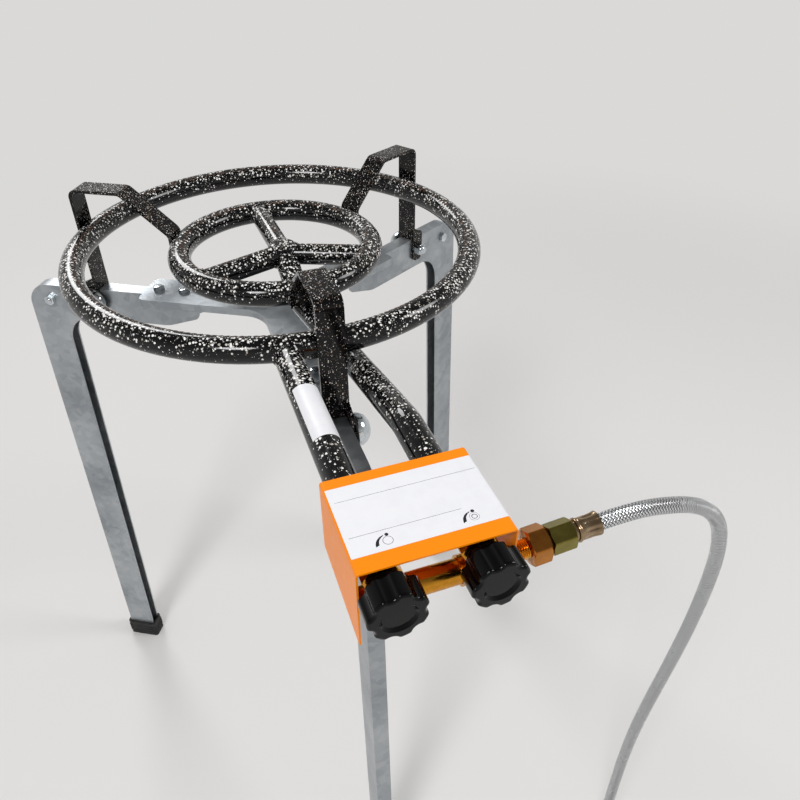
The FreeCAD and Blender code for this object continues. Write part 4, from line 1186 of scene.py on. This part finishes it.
def evenly(spots, step):
    # The same line with points at an even distance, and its length
    lengths = [0]
    for a, b in zip(spots, spots[1:]):
        lengths.append(lengths[-1] + (b - a).length)
    count = round(lengths[-1] / step)
    result, k = [], 0
    for i in range(count + 1):
        target = lengths[-1] * i / count
        while k < len(lengths) - 2 and lengths[k + 1] < target:
            k += 1
        share = (target - lengths[k]) / (lengths[k + 1] - lengths[k])
        result.append(spots[k].lerp(spots[k + 1], min(max(share, 0), 1)))
    return result, lengths[-1]


# Steel braid: stainless wires plaited over rubber; bright bundles with painted shade in the valleys between
# them and their wires, half as many as on a real hose, so that they show
braid = {
    "wire": "#EEF0F2",
    "valleyShade": "#0E0F10",
    "lay": 24,  # mm along the hose for one turn of a bundle
    "bundles": 10,
    "wires": 4,  # in each bundle
    "ripple": 0.08,  # height of a wire, as a share of its bundle's
    "tones": (0.38, 0.8),  # heights from valley to wire
    "cloud": {"Scale": perMm(20), "Detail": 4},  # changes of gloss
    "gloss": (0.18, 0.32),
    "bump": {"Strength": 1, "Distance": 0.5 * mm},
}


def steelBraid():
    # UV: once round the hose, and metres along it
    material, add, place = newMaterial("steel_braid", braid["wire"], 1.0)
    uv = add("SeparateXYZ", (add("TexCoord", output="UV"),)).node.outputs
    around = add("Math", (uv[0], braid["bundles"]), operation="MULTIPLY")
    along = add("Math", (uv[1], braid["bundles"] / (braid["lay"] * mm)), operation="MULTIPLY")
    heights, lanes = [], []
    for direction in ("ADD", "SUBTRACT"):
        # One set of bundles for each way round: its lanes, and a rounded, rippled height across each
        lane = add("Math", (around, along), operation=direction)
        lanes.append(add("Math", (lane,), operation="FLOOR"))
        part = add("Math", (lane,), operation="FRACT")
        bow = add("Math", (part, math.pi), operation="MULTIPLY")
        bow = add("Math", (bow,), operation="SINE")
        ripple = add("Math", (part, 2 * math.pi * braid["wires"]), operation="MULTIPLY")
        ripple = add("Math", (ripple,), operation="COSINE")
        heights.append(add("Math", (ripple, -braid["ripple"], bow), operation="MULTIPLY_ADD"))
    # The two sets pass over each other by turns: half of the lanes' sum ends in 0.5 where it is odd
    both = add("Math", lanes, operation="ADD")
    half = add("Math", (both, 0.5), operation="MULTIPLY")
    half = add("Math", (half,), operation="FRACT")
    odd = add("Math", (half, 0.25), operation="GREATER_THAN")
    height = add("Mix", {0: odd, 2: heights[0], 3: heights[1]}, data_type="FLOAT")
    # Painted shade: the lower a spot lies across a bundle or between its wires, the darker it is painted
    share = add("MapRange", (height, *braid["tones"]))
    colour = add("Mix", {0: share, 6: braid["valleyShade"], 7: braid["wire"]}, 2, data_type="RGBA")
    cloud = add("TexNoise", {"Vector": place, **braid["cloud"]})
    spread = add("MapRange", (cloud, *noiseSpan, *braid["gloss"]))
    bump = add("Bump", {"Height": height, **braid["bump"]})
    return patterned(material, colour, spread, bump)


finishes["steel_braid"] = steelBraid()


def braidMap(piece, rings, around, length):
    # UV of a tube's skin, whose end caps come last
    layer = piece.data.uv_layers.new(name="UVMap")
    for k, face in enumerate(piece.data.polygons):
        i, j = divmod(k, around)
        corners = ((j, i), (j + 1, i), (j + 1, i + 1), (j, i + 1))
        if i >= rings:
            corners = ((0, 0),) * face.loop_total
        for loop, (u, v) in zip(face.loop_indices, corners):
            layer.data[loop].uv = (u / around, v * length / rings)


# Union nut at the hose's far end, for the regulator, in mm
regulator = {
    "across": 24,
    "long": 16,
    "face": 0.96,
    "bore": 4,
    "web": 6,  # thickness of its end
    "thread": 8.3,  # radius
    "mouth": (9.2, 15.1),  # radius of its chamfer, and where it starts
}


def regulatorRings():
    mouth, chamfer = regulator["mouth"]
    web, thread, long = regulator["web"], regulator["thread"], regulator["long"]
    rings = [(regulator["bore"], web), (regulator["bore"], 0)]
    rings += hexRings(regulator["across"], 0, long, regulator["face"])
    rings += [(mouth, long), (thread, chamfer), (thread, web)]
    return rings[::-1]


def makeHose():
    path, length = evenly(smoothLine(hoseControl()), hose["ring"])
    points, faces = tubeMesh(path, lambda step: hose["across"] / 2, hose["around"])
    piece = meshPiece("braided_hose", points, faces, "steel_braid")
    braidMap(piece, len(path) - 1, hose["around"], length)
    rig.replaces(piece, "hose", "hose_coil")
    way = coilWay(hose["coilTurns"])
    nearStart = inletStart + inletWay * inlet["ferrule"] * mm
    near = makeFerrule("crimped_ferrule", "hose_ferrule", nearStart, inletWay)
    nutStart = path[-1] + way * crimp["long"] * mm
    far = makeFerrule("tail_crimp", "tail_ferrule", nutStart, -way)
    nut = turned("regulator_hex_nut", "regulator_nut", regulatorRings(), nutStart, way, "brass")
    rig.cord(piece, exit=hose["start"], length=hose["length"], diameter=hose["across"], far_end="fitting",
            stiffness="medium", lay="hanging", path=path, with_pieces=[near, far, nut])
    print(f"hose: {length:.3f} m along its line")


makeHose()


# Pale floor, a soft world and three large lamps
studio = {
    "floor": "#E4E2DF",
    "floorRough": 0.85,
    "far": "#DAD9D7",  # the floor far off, where the lamps don't reach
    "fade": (0.9, 2.6),  # metres from the middle over which it changes
    "half": 8,  # of the floor's width
    "sky": "#F6F7FA",
    "fill": 0.48,
    "wall": "#F3F2F0",  # what mirrors and the camera see instead
    "rise": (0, 0.8),  # Z of a look at the horizon, and of one nearly overhead
    "shades": (0.78, 0.22),  # the wall's strength at each
    "aim": (0, 0, 0.6),
    "lamps": [
        # Name, spot, size across, watts
        ("key", (-1.3, -1.5, 2.6), 0.8, 34),
        ("side", (1.9, -0.6, 1.9), 0.8, 16),
        ("back", (-0.5, 2.4, 2.2), 1.0, 24),
    ],
}


def seenRays(add):
    # 1 for rays that the camera, a mirror or glass sends out, and 0 for the light itself
    rays = add("LightPath").node.outputs
    seen = add("Math", (rays["Is Glossy Ray"], rays["Is Transmission Ray"]), operation="MAXIMUM")
    return add("Math", (rays["Is Camera Ray"], seen), operation="MAXIMUM")


def makeFloor():
    material, add, place = newMaterial("studio_floor", studio["floor"])
    nodes = material.node_tree.nodes
    nodes["Principled BSDF"].inputs["Roughness"].default_value = studio["floorRough"]
    away = add("VectorMath", (place,), "Value", operation="LENGTH")
    share = add("MapRange", (away, *studio["fade"]), interpolation_type="SMOOTHSTEP")
    share = add("Math", (share, seenRays(add)), operation="MULTIPLY")
    far = add("Emission", {"Color": studio["far"]})
    mixed = add("MixShader", (share, nodes["Principled BSDF"].outputs[0], far))
    material.node_tree.links.new(mixed, nodes["Material Output"].inputs[0])
    finishes["studio_floor"] = material
    half = studio["half"]
    corners = [(-half, -half, 0), (half, -half, 0), (half, half, 0), (-half, half, 0)]
    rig.stage(meshPiece("studio_floor", corners, [(0, 1, 2, 3)], "galvanised_steel", "studio_floor"))


def makeWorld():
    world = bpy.data.worlds.new("studio")
    bpy.context.scene.world = world
    world.use_nodes = True
    world.node_tree.nodes.clear()
    add = partial(addNode, world.node_tree)
    way = add("SeparateXYZ", (add("TexCoord", output="Generated"),), "Z")
    level = add("MapRange", (way, *studio["rise"], *studio["shades"]))
    light = add("Background", (studio["sky"], studio["fill"]))
    shown = add("Background", (studio["wall"], level))
    add("OutputWorld", (add("MixShader", (seenRays(add), light, shown)),))


def makeLamps():
    aim = Vector(studio["aim"])
    for name, spot, size, watts in studio["lamps"]:
        data = bpy.data.lights.new(name, "AREA")
        data.shape = "DISK"
        data.size = size
        data.energy = watts
        lamp = newObject(name, data)
        lamp.location = spot
        lamp.rotation_euler = (aim - Vector(spot)).to_track_quat("-Z", "Y").to_euler()


bpy.context.scene.view_settings.view_transform = "Standard"
makeFloor()
makeWorld()
makeLamps()
print("studio lit")

low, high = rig.bounds()
with open("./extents.json", "w") as sizeFile:
    json.dump({"cad": [list(cadLow), list(cadHigh)], "visual": [list(low), list(high)]}, sizeFile)
